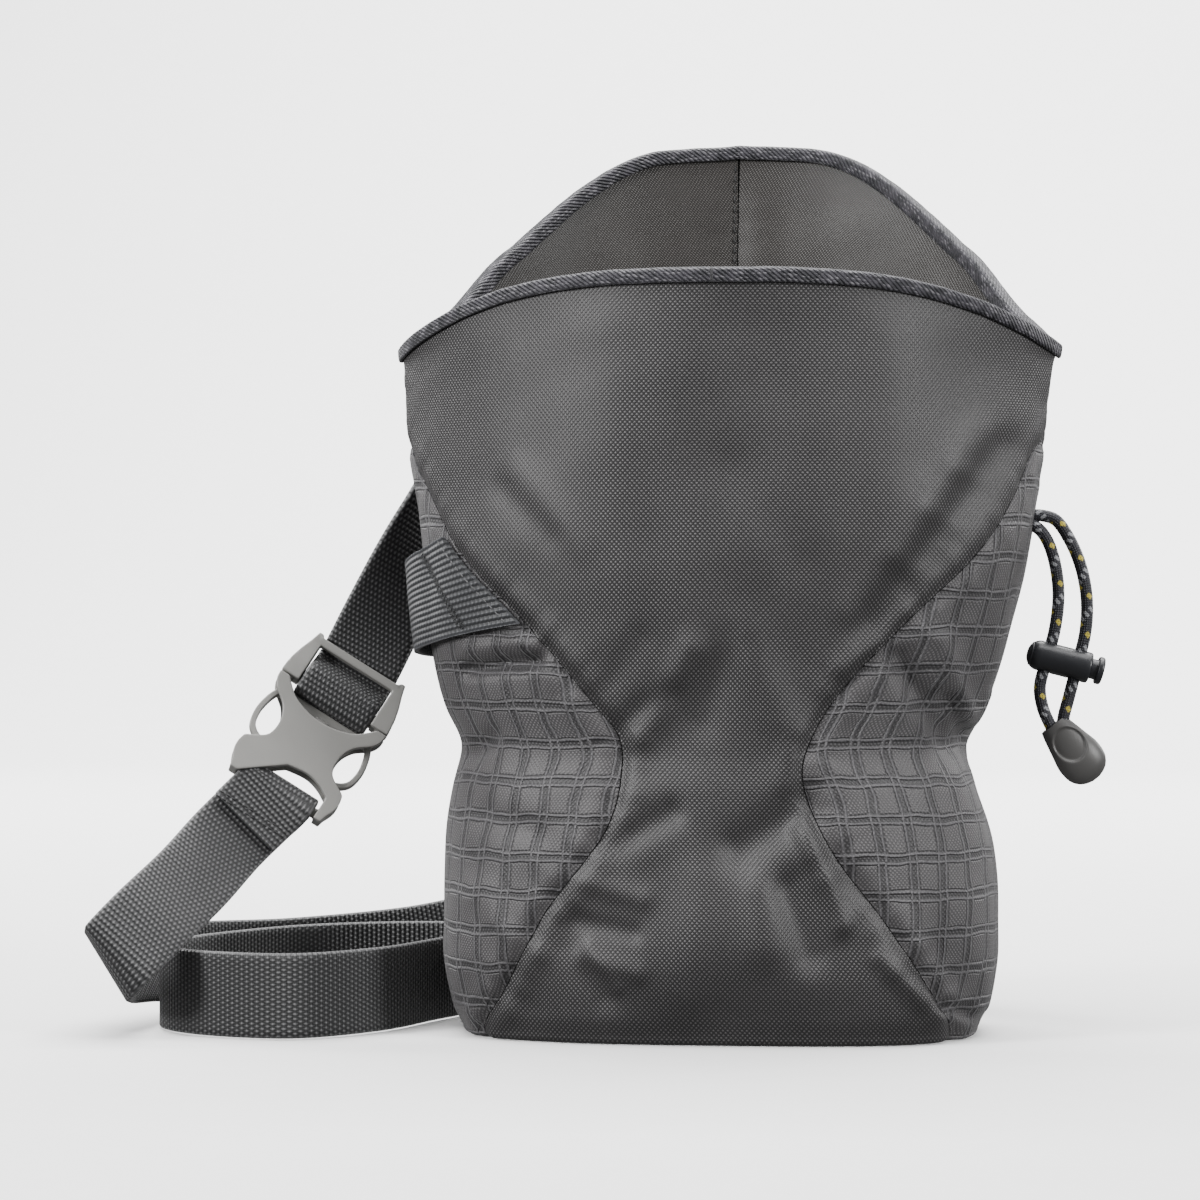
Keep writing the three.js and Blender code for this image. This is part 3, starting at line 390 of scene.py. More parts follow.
# Meshes
def make_object(name, points, faces, uvs=None):
    """A mesh object from points in millimetres, with its place in its mesh."""
    mesh = bpy.data.meshes.new(name)
    mesh.from_pydata((np.asarray(points, float) * MM).tolist(), [], [tuple(face) for face in faces])
    if uvs is not None:
        corners = np.empty(len(mesh.loops), int)
        mesh.loops.foreach_get("vertex_index", corners)
        layer = mesh.uv_layers.new(name="cloth")
        layer.data.foreach_set("uv", np.asarray(uvs, float)[corners].ravel())
    mesh.validate()
    mesh.update()
    made = bpy.data.objects.new(name, mesh)
    bpy.context.scene.collection.objects.link(made)
    return made


def smooth_shade(piece, degrees):
    piece.data.shade_smooth()
    piece.data.set_sharp_from_angle(angle=math.radians(degrees))


def grid_faces(columns, rows, first=0, flip=False):
    """Quads over a grid of (rows + 1) by (columns + 1) points."""
    i, j = np.meshgrid(np.arange(columns), np.arange(rows))
    a = first + j * (columns + 1) + i
    quads = np.stack([a, a + 1, a + columns + 2, a + columns + 1], -1).reshape(-1, 4)
    return quads[:, ::-1] if flip else quads


def grid_normals(grid):
    return unit(np.cross(np.gradient(grid, axis=1), np.gradient(grid, axis=0)))


def cloth_layers(grid, uvs, thickness):
    """Points, faces and UVs of a cloth with an outer and an inner face over one grid."""
    rows, columns = grid.shape[0] - 1, grid.shape[1] - 1
    count = (rows + 1) * (columns + 1)
    inner = grid - grid_normals(grid) * thickness
    points = np.concatenate([grid.reshape(-1, 3), inner.reshape(-1, 3)])
    faces = [grid_faces(columns, rows), grid_faces(columns, rows, count, True)]
    index = np.arange(count).reshape(rows + 1, columns + 1)
    edge = np.concatenate([index[0, :-1], index[:-1, -1], index[-1, :0:-1], index[:0:-1, 0]])
    after = np.roll(edge, -1)
    faces.append(np.stack([after, edge, edge + count, after + count], -1))
    flat = uvs.reshape(-1, 2)
    return points, np.concatenate(faces), np.concatenate([flat, flat])


def cloth_piece(name, grid, uvs, thickness):
    points, faces, flat = cloth_layers(grid, uvs, thickness)
    piece = make_object(name, points, faces, flat)
    smooth_shade(piece, 60)
    return piece


def lengths_over(grid, middle):
    """UVs in millimetres: along each row from its middle column, and up by height."""
    steps = np.linalg.norm(np.diff(grid, axis=1), axis=-1)
    run = np.concatenate([np.zeros((len(grid), 1)), np.cumsum(steps, axis=1)], axis=1)
    columns = np.arange(grid.shape[1])
    zero = np.array([np.interp(m, columns, r) for m, r in zip(middle, run)])
    return np.stack([run - zero[:, None], grid[..., 2]], -1)


def loft(rings, caps=True):
    """Points and faces of a body through closed rings of points."""
    rings = np.asarray(rings, float)
    count, size = rings.shape[:2]
    faces = []
    spans = count - 1 if caps else count
    for i in range(spans):
        here = i * size + np.arange(size)
        turned = i * size + (np.arange(size) + 1) % size
        step = ((i + 1) % count - i) * size
        faces.extend(np.stack([here, turned, turned + step, here + step], -1).tolist())
    if caps:
        faces.append(list(range(size))[::-1])
        faces.append([(count - 1) * size + k for k in range(size)])
    return rings.reshape(-1, 3), faces


def mirror_line(points):
    """A line's mirror image, run the other way."""
    return [(-x, y) for x, y in points][::-1]


def with_modifiers(piece):
    """Does the piece's modifiers to its mesh, so that none is left on it."""
    bpy.context.view_layer.update()
    graph = bpy.context.evaluated_depsgraph_get()
    done = bpy.data.meshes.new_from_object(piece.evaluated_get(graph))
    old = piece.data
    name = old.name
    piece.modifiers.clear()
    piece.data = done
    bpy.data.meshes.remove(old)
    done.name = name


def hand_over(piece, material, nodes=(), body="bag"):
    piece.data.materials.clear()
    piece.data.materials.append(material)
    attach(piece, body)
    if nodes:
        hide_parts(*nodes)


# Materials
def linear(code):
    """An sRGB hex colour as the linear colour that a shader takes."""
    parts = [int(code[i:i + 2], 16) / 255 for i in (1, 3, 5)]
    return tuple([p / 12.92 if p <= 0.04045 else ((p + 0.055) / 1.055) ** 2.4 for p in parts] + [1])


def add_node(tree, kind, inputs=(), out=0, **settings):
    """A node with its settings and links. Inputs are values or sockets, by order or by name."""
    node = tree.nodes.new(kind)
    for name, value in settings.items():
        setattr(node, name, value)
    for key, value in inputs.items() if isinstance(inputs, dict) else enumerate(inputs):
        if isinstance(value, bpy.types.NodeSocket):
            tree.links.new(value, node.inputs[key])
        else:
            node.inputs[key].default_value = value
    return node.outputs[out] if len(node.outputs) else node


def blank_material(name, values):
    """A new material, its node tree and its shader with the numbers that hold all over it."""
    material = bpy.data.materials.new(name)
    material.use_nodes = True
    shader = material.node_tree.nodes["Principled BSDF"]
    for key, value in values.items():
        shader.inputs[key].default_value = value
    return material, material.node_tree, shader


def nylon_material(name, roughness, specular=0.5, sheen=0.0, spread=0.4):
    """A blank material with nylon's shine. The sheen is the light that its loose fibres catch."""
    return blank_material(name, {
        "Roughness": roughness, "IOR": 1.53, "Specular IOR Level": specular,
        "Sheen Weight": sheen, "Sheen Roughness": spread,
    })


def finish_surface(tree, shader, colour, height, distance):
    """Gives the shader its colour and its fine relief; the relief's distance is in millimetres."""
    tree.links.new(colour, shader.inputs["Base Color"])
    relief_inputs = {"Strength": 1.0, "Distance": distance * MM, "Height": height}
    normal = add_node(tree, "ShaderNodeBump", relief_inputs)
    tree.links.new(normal, shader.inputs["Normal"])


def cloth_lengths(tree):
    """The lengths in millimetres that the cloth's own UV map holds: both, the first, the second."""
    both = add_node(tree, "ShaderNodeUVMap", uv_map="cloth")
    return (
        both,
        add_node(tree, "ShaderNodeSeparateXYZ", [both]),
        add_node(tree, "ShaderNodeSeparateXYZ", [both], out=1),
    )


def yarn_rows(tree, length, pitch):
    """Rounded rows over a length, 0 between two yarns and 1 on each."""
    turn = add_node(tree, "ShaderNodeMath", [length, 2 * math.pi / pitch], operation="MULTIPLY")
    row = add_node(tree, "ShaderNodeMath", [turn], operation="SINE")
    return add_node(tree, "ShaderNodeMath", [row, 0.5, 0.5], operation="MULTIPLY_ADD")


def crossed_yarns(tree, first, first_pitch, second, second_pitch):
    """Yarns over two lengths: 1 where one set lies on top of the other, and 0 in the gaps."""
    over = yarn_rows(tree, first, first_pitch)
    under = yarn_rows(tree, second, second_pitch)
    gap = add_node(tree, "ShaderNodeMath", [over, under], operation="SUBTRACT")
    return add_node(tree, "ShaderNodeMath", [gap, gap], operation="MULTIPLY")


def woven_nylon(name, dark, light, pitch, height, roughness, specular):
    """Plain-woven nylon with a coated back: each yarn shows as a small knuckle, and every other row
    lies half a pitch along. The knuckles are painted lighter as highlight dots, and the gaps are
    painted dark as shade."""
    material, tree, shader = nylon_material(name, roughness, specular)
    _, across, up = cloth_lengths(tree)
    place = add_node(tree, "ShaderNodeTexCoord", out=3)
    knuckle = crossed_yarns(tree, across, pitch, up, pitch * 1.06)
    fibre = add_node(tree, "ShaderNodeTexNoise", {"Vector": place, "Scale": 2600})
    worn = add_node(tree, "ShaderNodeTexNoise", {"Vector": place, "Scale": 45, "Detail": 3.0})
    # Painted highlight and shade: the knuckles are painted lighter and the gaps darker; the noise adds
    # random tone.
    share = add_node(tree, "ShaderNodeMath", [fibre, 1.1, 0.3], operation="MULTIPLY_ADD")
    share = add_node(tree, "ShaderNodeMath", [share, knuckle], operation="MULTIPLY")
    share = add_node(tree, "ShaderNodeMath", [worn, 0.25, share], operation="MULTIPLY_ADD")
    share = add_node(tree, "ShaderNodeMath", [share, 0.08], operation="SUBTRACT", use_clamp=True)
    shades = {0: share, 6: linear(dark), 7: linear(light)}
    colour = add_node(tree, "ShaderNodeMix", shades, 2, data_type="RGBA")
    finish_surface(tree, shader, colour, knuckle, height)
    return material


def grid_ripstop(name):
    """Nylon ripstop: pairs of thick yarns 1.8 mm apart make a raised grid of 7.9 by 8.7 mm.
    The cells puff out a little, and light picks out one side of each thick yarn. The thick yarns are
    also painted lighter as a highlight, the band between each pair is painted dark as shade in its
    groove, and the fine yarns in the cells are painted lighter than their gaps, as highlight and shade."""
    material, tree, shader = nylon_material(name, 0.52, sheen=0.12, spread=0.45)
    both, _, _ = cloth_lengths(tree)
    place = add_node(tree, "ShaderNodeTexCoord", out=3)
    drift = add_node(tree, "ShaderNodeTexNoise", {"Vector": both, "Scale": 0.10, "Detail": 2.0}, out=1)
    centred = add_node(tree, "ShaderNodeVectorMath", [drift, (0.5, 0.5, 0.5)], operation="SUBTRACT")
    moved = add_node(tree, "ShaderNodeVectorMath", [centred, (2.2, 2.2, 0), both], operation="MULTIPLY_ADD")
    across = add_node(tree, "ShaderNodeSeparateXYZ", [moved])
    up = add_node(tree, "ShaderNodeSeparateXYZ", [moved], out=1)
    ridges = []
    bands = []
    for length, cell in ((across, 7.9), (up, 8.7)):
        away = add_node(tree, "ShaderNodeMath", [length, cell / 2], operation="PINGPONG")
        beside = add_node(tree, "ShaderNodeMath", [away, 0.92], operation="SUBTRACT")
        beside = add_node(tree, "ShaderNodeMath", [beside], operation="ABSOLUTE")
        for rows, distance, far, near in ((ridges, beside, 0.50, 0.10), (bands, away, 1.70, 1.25)):
            eased = add_node(
                tree, "ShaderNodeMapRange", [distance, far, near], interpolation_type="SMOOTHSTEP")
            rows.append(eased)
    ridge = add_node(tree, "ShaderNodeMath", ridges, operation="MAXIMUM")
    band = add_node(tree, "ShaderNodeMath", bands, operation="MAXIMUM")
    fine = crossed_yarns(tree, across, 0.98, up, 1.1)
    fibre = add_node(tree, "ShaderNodeTexNoise", {"Vector": place, "Scale": 2300})
    patch = add_node(tree, "ShaderNodeTexNoise", {"Vector": place, "Scale": 60})
    # Painted highlight and shade: the fine yarns in the cells are painted lighter than their gaps; the
    # patch noise adds random tone.
    share = add_node(tree, "ShaderNodeMath", [fibre, 1.0, 0.1], operation="MULTIPLY_ADD")
    share = add_node(tree, "ShaderNodeMath", [share, fine], operation="MULTIPLY")
    share = add_node(tree, "ShaderNodeMath", [patch, 0.35, share], operation="MULTIPLY_ADD", use_clamp=True)
    cells = {0: share, 6: linear("#2a292b"), 7: linear("#737071")}
    ground = add_node(tree, "ShaderNodeMix", cells, 2, data_type="RGBA")
    # Painted shade: the band between each pair of thick yarns is painted dark, as in the shadow of its
    # groove.
    sunk = add_node(tree, "ShaderNodeMath", [band, 0.6], operation="MULTIPLY")
    groove = {0: sunk, 6: ground, 7: linear("#161518")}
    ground = add_node(tree, "ShaderNodeMix", groove, 2, data_type="RGBA")
    # Painted highlight: the ridges of the thick yarns are painted lighter.
    lit = add_node(tree, "ShaderNodeMath", [fibre, 1.1, -0.1], operation="MULTIPLY_ADD")
    lit = add_node(tree, "ShaderNodeMath", [lit, ridge], operation="MULTIPLY", use_clamp=True)
    yarns = {0: lit, 6: ground, 7: linear("#757376")}
    colour = add_node(tree, "ShaderNodeMix", yarns, 2, data_type="RGBA")
    height = add_node(tree, "ShaderNodeMath", [band, -0.55, ridge], operation="MULTIPLY_ADD")
    height = add_node(tree, "ShaderNodeMath", [fine, 0.22, height], operation="MULTIPLY_ADD")
    finish_surface(tree, shader, colour, height, 0.42)
    return material


def ribbed_webbing(name, rib, dot, dark, middle, light, ribs_along=False):
    """Nylon webbing: thick weft ribs, and warp floats over every other one that show as staggered
    light dots, which are painted highlights; the gaps between the ribs are painted dark as shade.
    The selvedge at both edges is smooth, and is painted lighter there as a highlight."""
    material, tree, shader = nylon_material(name, 0.5, sheen=0.08)
    _, along, across = cloth_lengths(tree)
    place = add_node(tree, "ShaderNodeTexCoord", out=3)
    line, side = (across, along) if ribs_along else (along, across)
    ribs = yarn_rows(tree, line, rib)
    shifted = add_node(tree, "ShaderNodeMath", [line, rib / 4], operation="ADD")
    floats = crossed_yarns(tree, shifted, 2 * rib, side, dot)
    fibre = add_node(tree, "ShaderNodeTexNoise", {"Vector": place, "Scale": 2500})
    # Painted shade: the colour darkens between the ribs.
    crown = add_node(tree, "ShaderNodeMath", [ribs, 0.65, 0.35], operation="MULTIPLY_ADD")
    # Painted highlight: the floats on the ribs are painted light.
    spot = add_node(tree, "ShaderNodeMath", [fibre, 1.2, 0.35], operation="MULTIPLY_ADD")
    spot = add_node(tree, "ShaderNodeMath", [spot, crown], operation="MULTIPLY")
    spot = add_node(tree, "ShaderNodeMath", [spot, floats], operation="MULTIPLY", use_clamp=True)
    weft = {0: crown, 6: linear(dark), 7: linear(middle)}
    ground = add_node(tree, "ShaderNodeMix", weft, 2, data_type="RGBA")
    colour = add_node(tree, "ShaderNodeMix", {0: spot, 6: ground, 7: linear(light)}, 2, data_type="RGBA")
    # Painted highlight: a lighter line is painted along both edges of the webbing.
    edge = add_node(tree, "ShaderNodeMath", [across], operation="ABSOLUTE")
    edge = add_node(tree, "ShaderNodeMapRange", [edge, 9.2, 9.8, 0.0, 0.6], interpolation_type="SMOOTHSTEP")
    colour = add_node(tree, "ShaderNodeMix", {0: edge, 6: colour, 7: linear(light)}, 2, data_type="RGBA")
    height = add_node(tree, "ShaderNodeMath", [floats, 0.45, ribs], operation="MULTIPLY_ADD")
    finish_surface(tree, shader, colour, height, 0.26)
    return material


def mottled_tape(name):
    """Bias-cut binding tape: navy and grey yarns cross it at a slant, with a few pale ones."""
    material, tree, shader = nylon_material(name, 0.55, 0.45, 0.15)
    both, along, across = cloth_lengths(tree)
    slant = add_node(tree, "ShaderNodeMath", [across, 1.2, along], operation="MULTIPLY_ADD")
    twill = yarn_rows(tree, slant, 1.3)
    leaning = {"Vector": both, "Rotation": (0, 0, 0.87), "Scale": (0.35, 2.1, 1)}
    leaned = add_node(tree, "ShaderNodeMapping", leaning)
    streaks = add_node(tree, "ShaderNodeTexNoise", {"Vector": leaned, "Scale": 0.8, "Detail": 3.0})
    patches = add_node(tree, "ShaderNodeTexNoise", {"Vector": both, "Scale": 0.33, "Detail": 3.0})
    patched = add_node(tree, "ShaderNodeMapRange", [patches, 0.35, 0.68], interpolation_type="SMOOTHSTEP")
    navy = {0: patched, 6: linear("#14141b"), 7: linear("#38363d")}
    ground = add_node(tree, "ShaderNodeMix", navy, 2, data_type="RGBA")
    share = add_node(tree, "ShaderNodeMapRange", [streaks, 0.52, 0.63], interpolation_type="SMOOTHSTEP")
    share = add_node(tree, "ShaderNodeMath", [share, twill], operation="MULTIPLY")
    pale = {0: share, 6: ground, 7: linear("#79777c")}
    colour = add_node(tree, "ShaderNodeMix", pale, 2, data_type="RGBA")
    height = add_node(tree, "ShaderNodeMath", [streaks, 0.8, twill], operation="MULTIPLY_ADD")
    finish_surface(tree, shader, colour, height, 0.26)
    return material


def moulded_plastic(name, code, roughness):
    """Injection-moulded nylon or soft rubber: one colour, a fine spark-eroded grain, a satin shine
    that is a little smoother where hands have worn it."""
    material, tree, shader = blank_material(name, {"IOR": 1.52, "Specular IOR Level": 0.5})
    base = np.array(linear(code))
    low = tuple(base[:3] * 0.93) + (1,)
    high = tuple(np.minimum(base[:3] * 1.07, 1)) + (1,)
    place = add_node(tree, "ShaderNodeTexCoord", out=3)
    worn = add_node(tree, "ShaderNodeTexNoise", {"Vector": place, "Scale": 130})
    rubbed = add_node(tree, "ShaderNodeTexNoise", {"Vector": place, "Scale": 700})
    sparks = add_node(tree, "ShaderNodeTexNoise", {"Vector": place, "Scale": 3200})
    rough = add_node(tree, "ShaderNodeMath", [rubbed, 0.14, roughness - 0.07], operation="MULTIPLY_ADD")
    tree.links.new(rough, shader.inputs["Roughness"])
    colour = add_node(tree, "ShaderNodeMix", {0: worn, 6: low, 7: high}, 2, data_type="RGBA")
    finish_surface(tree, shader, colour, sparks, 0.02)
    return material


def braided_sheath(name):
    """Braided accessory cord: the navy sheath yarns cross, and grey and yellow ones fleck it. The navy
    is painted lighter where the yarns cross and darker in the gaps, as painted highlight and shade.
    """
    material, tree, shader = nylon_material(name, 0.5, sheen=0.1)
    _, along, around = cloth_lengths(tree)
    left = add_node(tree, "ShaderNodeMath", [around, along], operation="ADD")
    right = add_node(tree, "ShaderNodeMath", [around, along], operation="SUBTRACT")
    turn = CORD_DIAMETER * math.pi
    knuckle = crossed_yarns(tree, left, turn / SHEATH_YARNS, right, turn / SHEATH_YARNS)
    # Painted highlight and shade: the navy is lighter where the yarns cross and darker in the gaps.
    navy = {0: knuckle, 6: linear("#0f0f14"), 7: linear("#343542")}
    colour = add_node(tree, "ShaderNodeMix", navy, 2, data_type="RGBA")
    # Yarn's colour, its way and the way that it dips under, how often it dips, and where it shows
    for code, way, under, dips, low, high, dip_low, dip_high in (
        ("#8e8f93", right, left, 4, 0.82, 0.92, 0.4, 0.65),
        ("#b9a838", left, right, 2, 0.90, 0.97, 0.5, 0.75),
    ):
        eased = []
        for length, pitch, start, end in ((way, turn, low, high), (under, turn / dips, dip_low, dip_high)):
            rows = [yarn_rows(tree, length, pitch), start, end]
            eased.append(add_node(tree, "ShaderNodeMapRange", rows, interpolation_type="SMOOTHSTEP"))
        shows = add_node(tree, "ShaderNodeMath", eased, operation="MULTIPLY")
        flecks = {0: shows, 6: colour, 7: linear(code)}
        colour = add_node(tree, "ShaderNodeMix", flecks, 2, data_type="RGBA")
    finish_surface(tree, shader, colour, knuckle, 0.16)
    return material


def sewing_thread(name, code):
    """Bonded polyester thread: a tight twist with a dull shine."""
    material, tree, shader = nylon_material(name, 0.5)
    place = add_node(tree, "ShaderNodeTexCoord", out=3)
    twist = add_node(tree, "ShaderNodeTexNoise", {"Vector": place, "Scale": 1800})
    base = np.array(linear(code))
    shades = {0: twist, 6: tuple(base[:3] * 0.6) + (1,), 7: tuple(base)}
    colour = add_node(tree, "ShaderNodeMix", shades, 2, data_type="RGBA")
    finish_surface(tree, shader, colour, twist, 0.05)
    return material


front_cloth = woven_nylon("coated_nylon_cloth", "#19191a", "#615e5f", 1.1, 0.12, 0.48, 0.55)
back_cloth = woven_nylon("plain_nylon_cloth", "#171718", "#545152", 1.1, 0.12, 0.5, 0.5)
ripstop = grid_ripstop("grid_ripstop_nylon")
facing_cloth = woven_nylon("smooth_lining_nylon", "#1a1817", "#575350", 0.8, 0.07, 0.42, 0.5)
webbing = ribbed_webbing("nylon_belt_webbing", 1.25, 1.15, "#0c0c0d", "#2b2b2c", "#717172")
loop_webbing = ribbed_webbing("nylon_loop_webbing", 1.2, 1.3, "#161618", "#3c3d3f", "#55565a", True)
binding_tape = mottled_tape("bias_binding_tape")
buckle_nylon = moulded_plastic("moulded_acetal_buckle", "#8a8986", 0.38)
lock_nylon = moulded_plastic("moulded_nylon_lock", "#1f2024", 0.36)
end_rubber = moulded_plastic("moulded_soft_end_piece", "#4e4d4c", 0.42)
cord_braid = braided_sheath("braided_accessory_cord")
dark_thread = sewing_thread("dark_sewing_thread", "#1a1a1b")
grey_thread = sewing_thread("grey_sewing_thread", "#5a5a5c")


# Cords
def smooth_path(points, steps):
    """A centripetal curve through points: its places, and its ways of travel."""
    points = np.asarray(points, float)
    padded = np.vstack([2 * points[0] - points[1], points, 2 * points[-1] - points[-2]])
    places = []
    ways = []
    for i in range(len(points) - 1):
        p0, p1, p2, p3 = padded[i:i + 4]
        d0 = math.sqrt(np.linalg.norm(p1 - p0))
        d1 = math.sqrt(np.linalg.norm(p2 - p1))
        d2 = math.sqrt(np.linalg.norm(p3 - p2))
        t1 = ((p1 - p0) / d0 - (p2 - p0) / (d0 + d1) + (p2 - p1) / d1) * d1
        t2 = ((p2 - p1) / d1 - (p3 - p1) / (d1 + d2) + (p3 - p2) / d2) * d1
        count = steps[i] if np.ndim(steps) else steps
        last = 1 if i == len(points) - 2 else 0
        t = (np.arange(count + last) / count)[:, None]
        a = 2 * p1 - 2 * p2 + t1 + t2
        b = -3 * p1 + 3 * p2 - 2 * t1 - t2
        places.append(p1 + t1 * t + b * t ** 2 + a * t ** 3)
        ways.append(t1 + 2 * b * t + 3 * a * t ** 2)
    return np.vstack(places), unit(np.vstack(ways))


# Each route is the solid's, and goes on into the bag's side above and into the end piece below
OUTER_CORD = (
    (72.7, -1.4, 123.2),
    (75.4, -1.2, 123.0), (78.2, -1.0, 122.0), (81.4, -0.5, 117.6), (84.2, -0.3, 110.9), (85.6, -0.2, 103.0),
    (85.2, -0.3, 95.1), (83.3, -0.4, 87.6), (81.4, -0.5, 80.1), (80.2, -0.8, 75.6), (79.8, -0.9, 73.0),
)
INNER_CORD = (
    (72.3, -1.5, 121.4),
    (74.9, -1.4, 119.2), (76.6, -1.2, 116.4), (78.2, -0.9, 111.0), (78.9, -0.8, 104.0), (78.1, -1.0, 96.4),
    (76.3, -1.1, 89.4), (74.5, -1.2, 82.3), (75.2, -1.3, 77.4), (76.4, -1.2, 74.4), (77.7, -1.1, 71.8),
)


CORD_STEPS = 36


def cord_tube(name, points):
    """A tube along a path, with its yarns a little raised; also its path and length in millimetres."""
    places, ways = smooth_path(points, CORD_STEPS)
    run = run_along(places)
    sides = 28
    side = np.array([0.0, 1.0, 0.0])
    rings = []
    uvs = []
    yarn = CORD_DIAMETER * math.pi / SHEATH_YARNS
    angle = round_angles(sides)
    around = angle * CORD_DIAMETER / 2
    for place, way, length in zip(places, ways, run):
        side = unit(side - way * (side @ way))
        other = np.cross(way, side)
        first = np.sin(2 * math.pi * (around + length) / yarn)
        second = np.sin(2 * math.pi * (around - length) / yarn)
        radius = CORD_DIAMETER / 2 + 0.05 * first * second
        ring = place + np.outer(np.cos(angle) * radius, side) + np.outer(np.sin(angle) * radius, other)
        rings.append(ring)
        uvs.append(np.stack([np.full(sides, length), around], -1))
    body, faces = loft(rings)
    tube = make_object(name, body, faces, np.concatenate(uvs))
    smooth_shade(tube, 70)
    return tube, places[::CORD_STEPS // 3], run[-1]


outer_cord, outer_path, outer_length = cord_tube("drawcord_outer_braid", OUTER_CORD)
inner_cord, inner_path, inner_length = cord_tube("drawcord_inner_braid", INNER_CORD)
hand_over(outer_cord, cord_braid, ["drawcord_outer"])
hand_over(inner_cord, cord_braid, ["drawcord_inner"])


# The lock on the drawcord: a barrel with a sprung button
LOCK_AXIS = unit((16.3, 1.7, -4.2))
LOCK_CENTRE = np.array([79.65, -0.75, 88.5])
CORD_PLACES = (-3.5, 3.75)
CORD_HOLE = CORD_DIAMETER / 2 + 0.3


def turned(name, profile, sides=72):
    """A body of revolution about the x axis from (radius, place) pairs that start and end on it."""
    angle = round_angles(sides)
    points = [(profile[0][1], 0, 0)]
    for radius, place in profile[1:-1]:
        points.extend(zip(np.full(sides, place), radius * np.cos(angle), radius * np.sin(angle)))
    points.append((profile[-1][1], 0, 0))
    faces = []
    k = np.arange(sides)
    n = (k + 1) % sides
    faces.extend(np.stack([np.zeros(sides, int), 1 + n, 1 + k], -1).tolist())
    for i in range(len(profile) - 3):
        here = 1 + i * sides
        quads = np.stack([here + k, here + n, here + sides + n, here + sides + k], -1)
        faces.extend(quads.tolist())
    here = 1 + (len(profile) - 3) * sides
    faces.extend(np.stack([here + k, here + n, np.full(sides, len(points) - 1)], -1).tolist())
    return make_object(name, points, faces)


def cut_out(piece, tool):
    """Takes the tool's body out of the piece, and the tool out of the scene."""
    cut = piece.modifiers.new("cut", "BOOLEAN")
    cut.operation = "DIFFERENCE"
    cut.solver = "EXACT"
    cut.object = tool
    with_modifiers(piece)
    bpy.data.objects.remove(tool)


def put_at(piece, centre, axes):
    """Moves a mesh made in its own frame to its place; axes are its x, y and z there."""
    place = Matrix.Identity(4)
    for column, axis in enumerate(axes):
        for row in range(3):
            place[row][column] = float(axis[row])
    place.translation = Vector([float(v) * MM for v in centre])
    piece.data.transform(place)
    piece.data.update()


def axes_along(axis):
    turn = Vector((1, 0, 0)).rotation_difference(Vector([float(v) for v in axis])).to_matrix()
    return [np.array(turn.col[i]) for i in range(3)]


def arc(centre_radius, centre_place, radius, start, end, count):
    """Profile pairs round a quarter, in degrees from the axis's own way."""
    pairs = []
    for degrees in np.linspace(start, end, count):
        a = math.radians(degrees)
        pairs.append((centre_radius + radius * math.sin(a), centre_place + radius * math.cos(a)))
    return pairs


lock_end = LOCK_START + LOCK_LENGTH
barrel_profile = [(0, LOCK_START)]
barrel_profile += arc(0.5, LOCK_START + 3.1, 3.1, 176, 90, 14)
for swell, place in ((0, -2), (-0.02, 0), (0, 2), (0.06, 4), (0.1, 5.4)):
    barrel_profile.append((LOCK_RADIUS + swell, place))
barrel_profile += arc(3.1, lock_end - 0.6, 0.6, 90, 10, 6)
bore_floor = LOCK_START + LOCK_END_WALL
barrel_profile += [(LOCK_BORE_RADIUS + 0.05, lock_end), (LOCK_BORE_RADIUS, lock_end - 0.05)]
barrel_profile += [(LOCK_BORE_RADIUS, bore_floor), (0, bore_floor)]
lock_barrel = turned("cord_lock_barrel", barrel_profile)
for place in CORD_PLACES:
    hole = turned(f"lock_hole_{place}", [(0, -9), (CORD_HOLE, -9), (CORD_HOLE, 9), (0, 9)], 40)
    put_at(hole, (place, 0, 0), [(0, 0, 1), (0, 1, 0), (-1, 0, 0)])
    cut_out(lock_barrel, hole)
put_at(lock_barrel, LOCK_CENTRE, axes_along(LOCK_AXIS))
smooth_shade(lock_barrel, 35)
hand_over(lock_barrel, lock_nylon, ["cord_lock"])

plunger_tip = bore_floor + BUTTON_TRAVEL + SEAM_GAP
cap = lock_end + BUTTON_TRAVEL + SEAM_GAP
cap_end = cap + BUTTON_THICKNESS
button_profile = [(0, plunger_tip), (PLUNGER_RADIUS, plunger_tip), (PLUNGER_RADIUS, cap)]
button_profile += arc(BUTTON_RADIUS - 0.35, cap + 0.35, 0.35, 180, 90, 5)
button_profile += arc(BUTTON_RADIUS - 0.6, cap_end - 0.6, 0.6, 90, 0, 8)
button_profile += [(1.9, cap_end), (1.6, cap_end - 0.18), (0, cap_end - 0.22)]
lock_button = turned("lock_button_plunger", button_profile)
slot_end = CORD_PLACES[1] + CORD_HOLE + BUTTON_TRAVEL
slot_box = make_object(
    "plunger_slot",
    [(x, y, z) for x in (plunger_tip - 1, slot_end) for y in (-CORD_HOLE, CORD_HOLE) for z in (-5, 5)],
    [(0, 1, 3, 2), (4, 6, 7, 5), (0, 4, 5, 1), (2, 3, 7, 6), (0, 2, 6, 4), (1, 5, 7, 3)],
)
cut_out(lock_button, slot_box)
put_at(lock_button, LOCK_CENTRE, axes_along(LOCK_AXIS))
smooth_shade(lock_button, 35)
hand_over(lock_button, lock_nylon, ["lock_button"], "button")

# The end piece: a soft drop with a dished place for the thumb
# Along, width, thickness: its section from its top to its tip, in shares
DROP = (
    (0.00, 0.60, 0.62), (0.12, 0.70, 0.74), (0.36, 0.86, 0.92), (0.62, 1.00, 1.00),
    (0.80, 0.93, 0.90), (0.92, 0.70, 0.68), (0.975, 0.44, 0.42), (1.00, 0.20, 0.20),
)
CORD_END_TOP = np.array([77.6, -1.0, 73.4])
CORD_END_WAY = unit((0.62, 0.06, -0.78))
drop_width = smooth_table(DROP, 1)
drop_thick = smooth_table(DROP, 2)


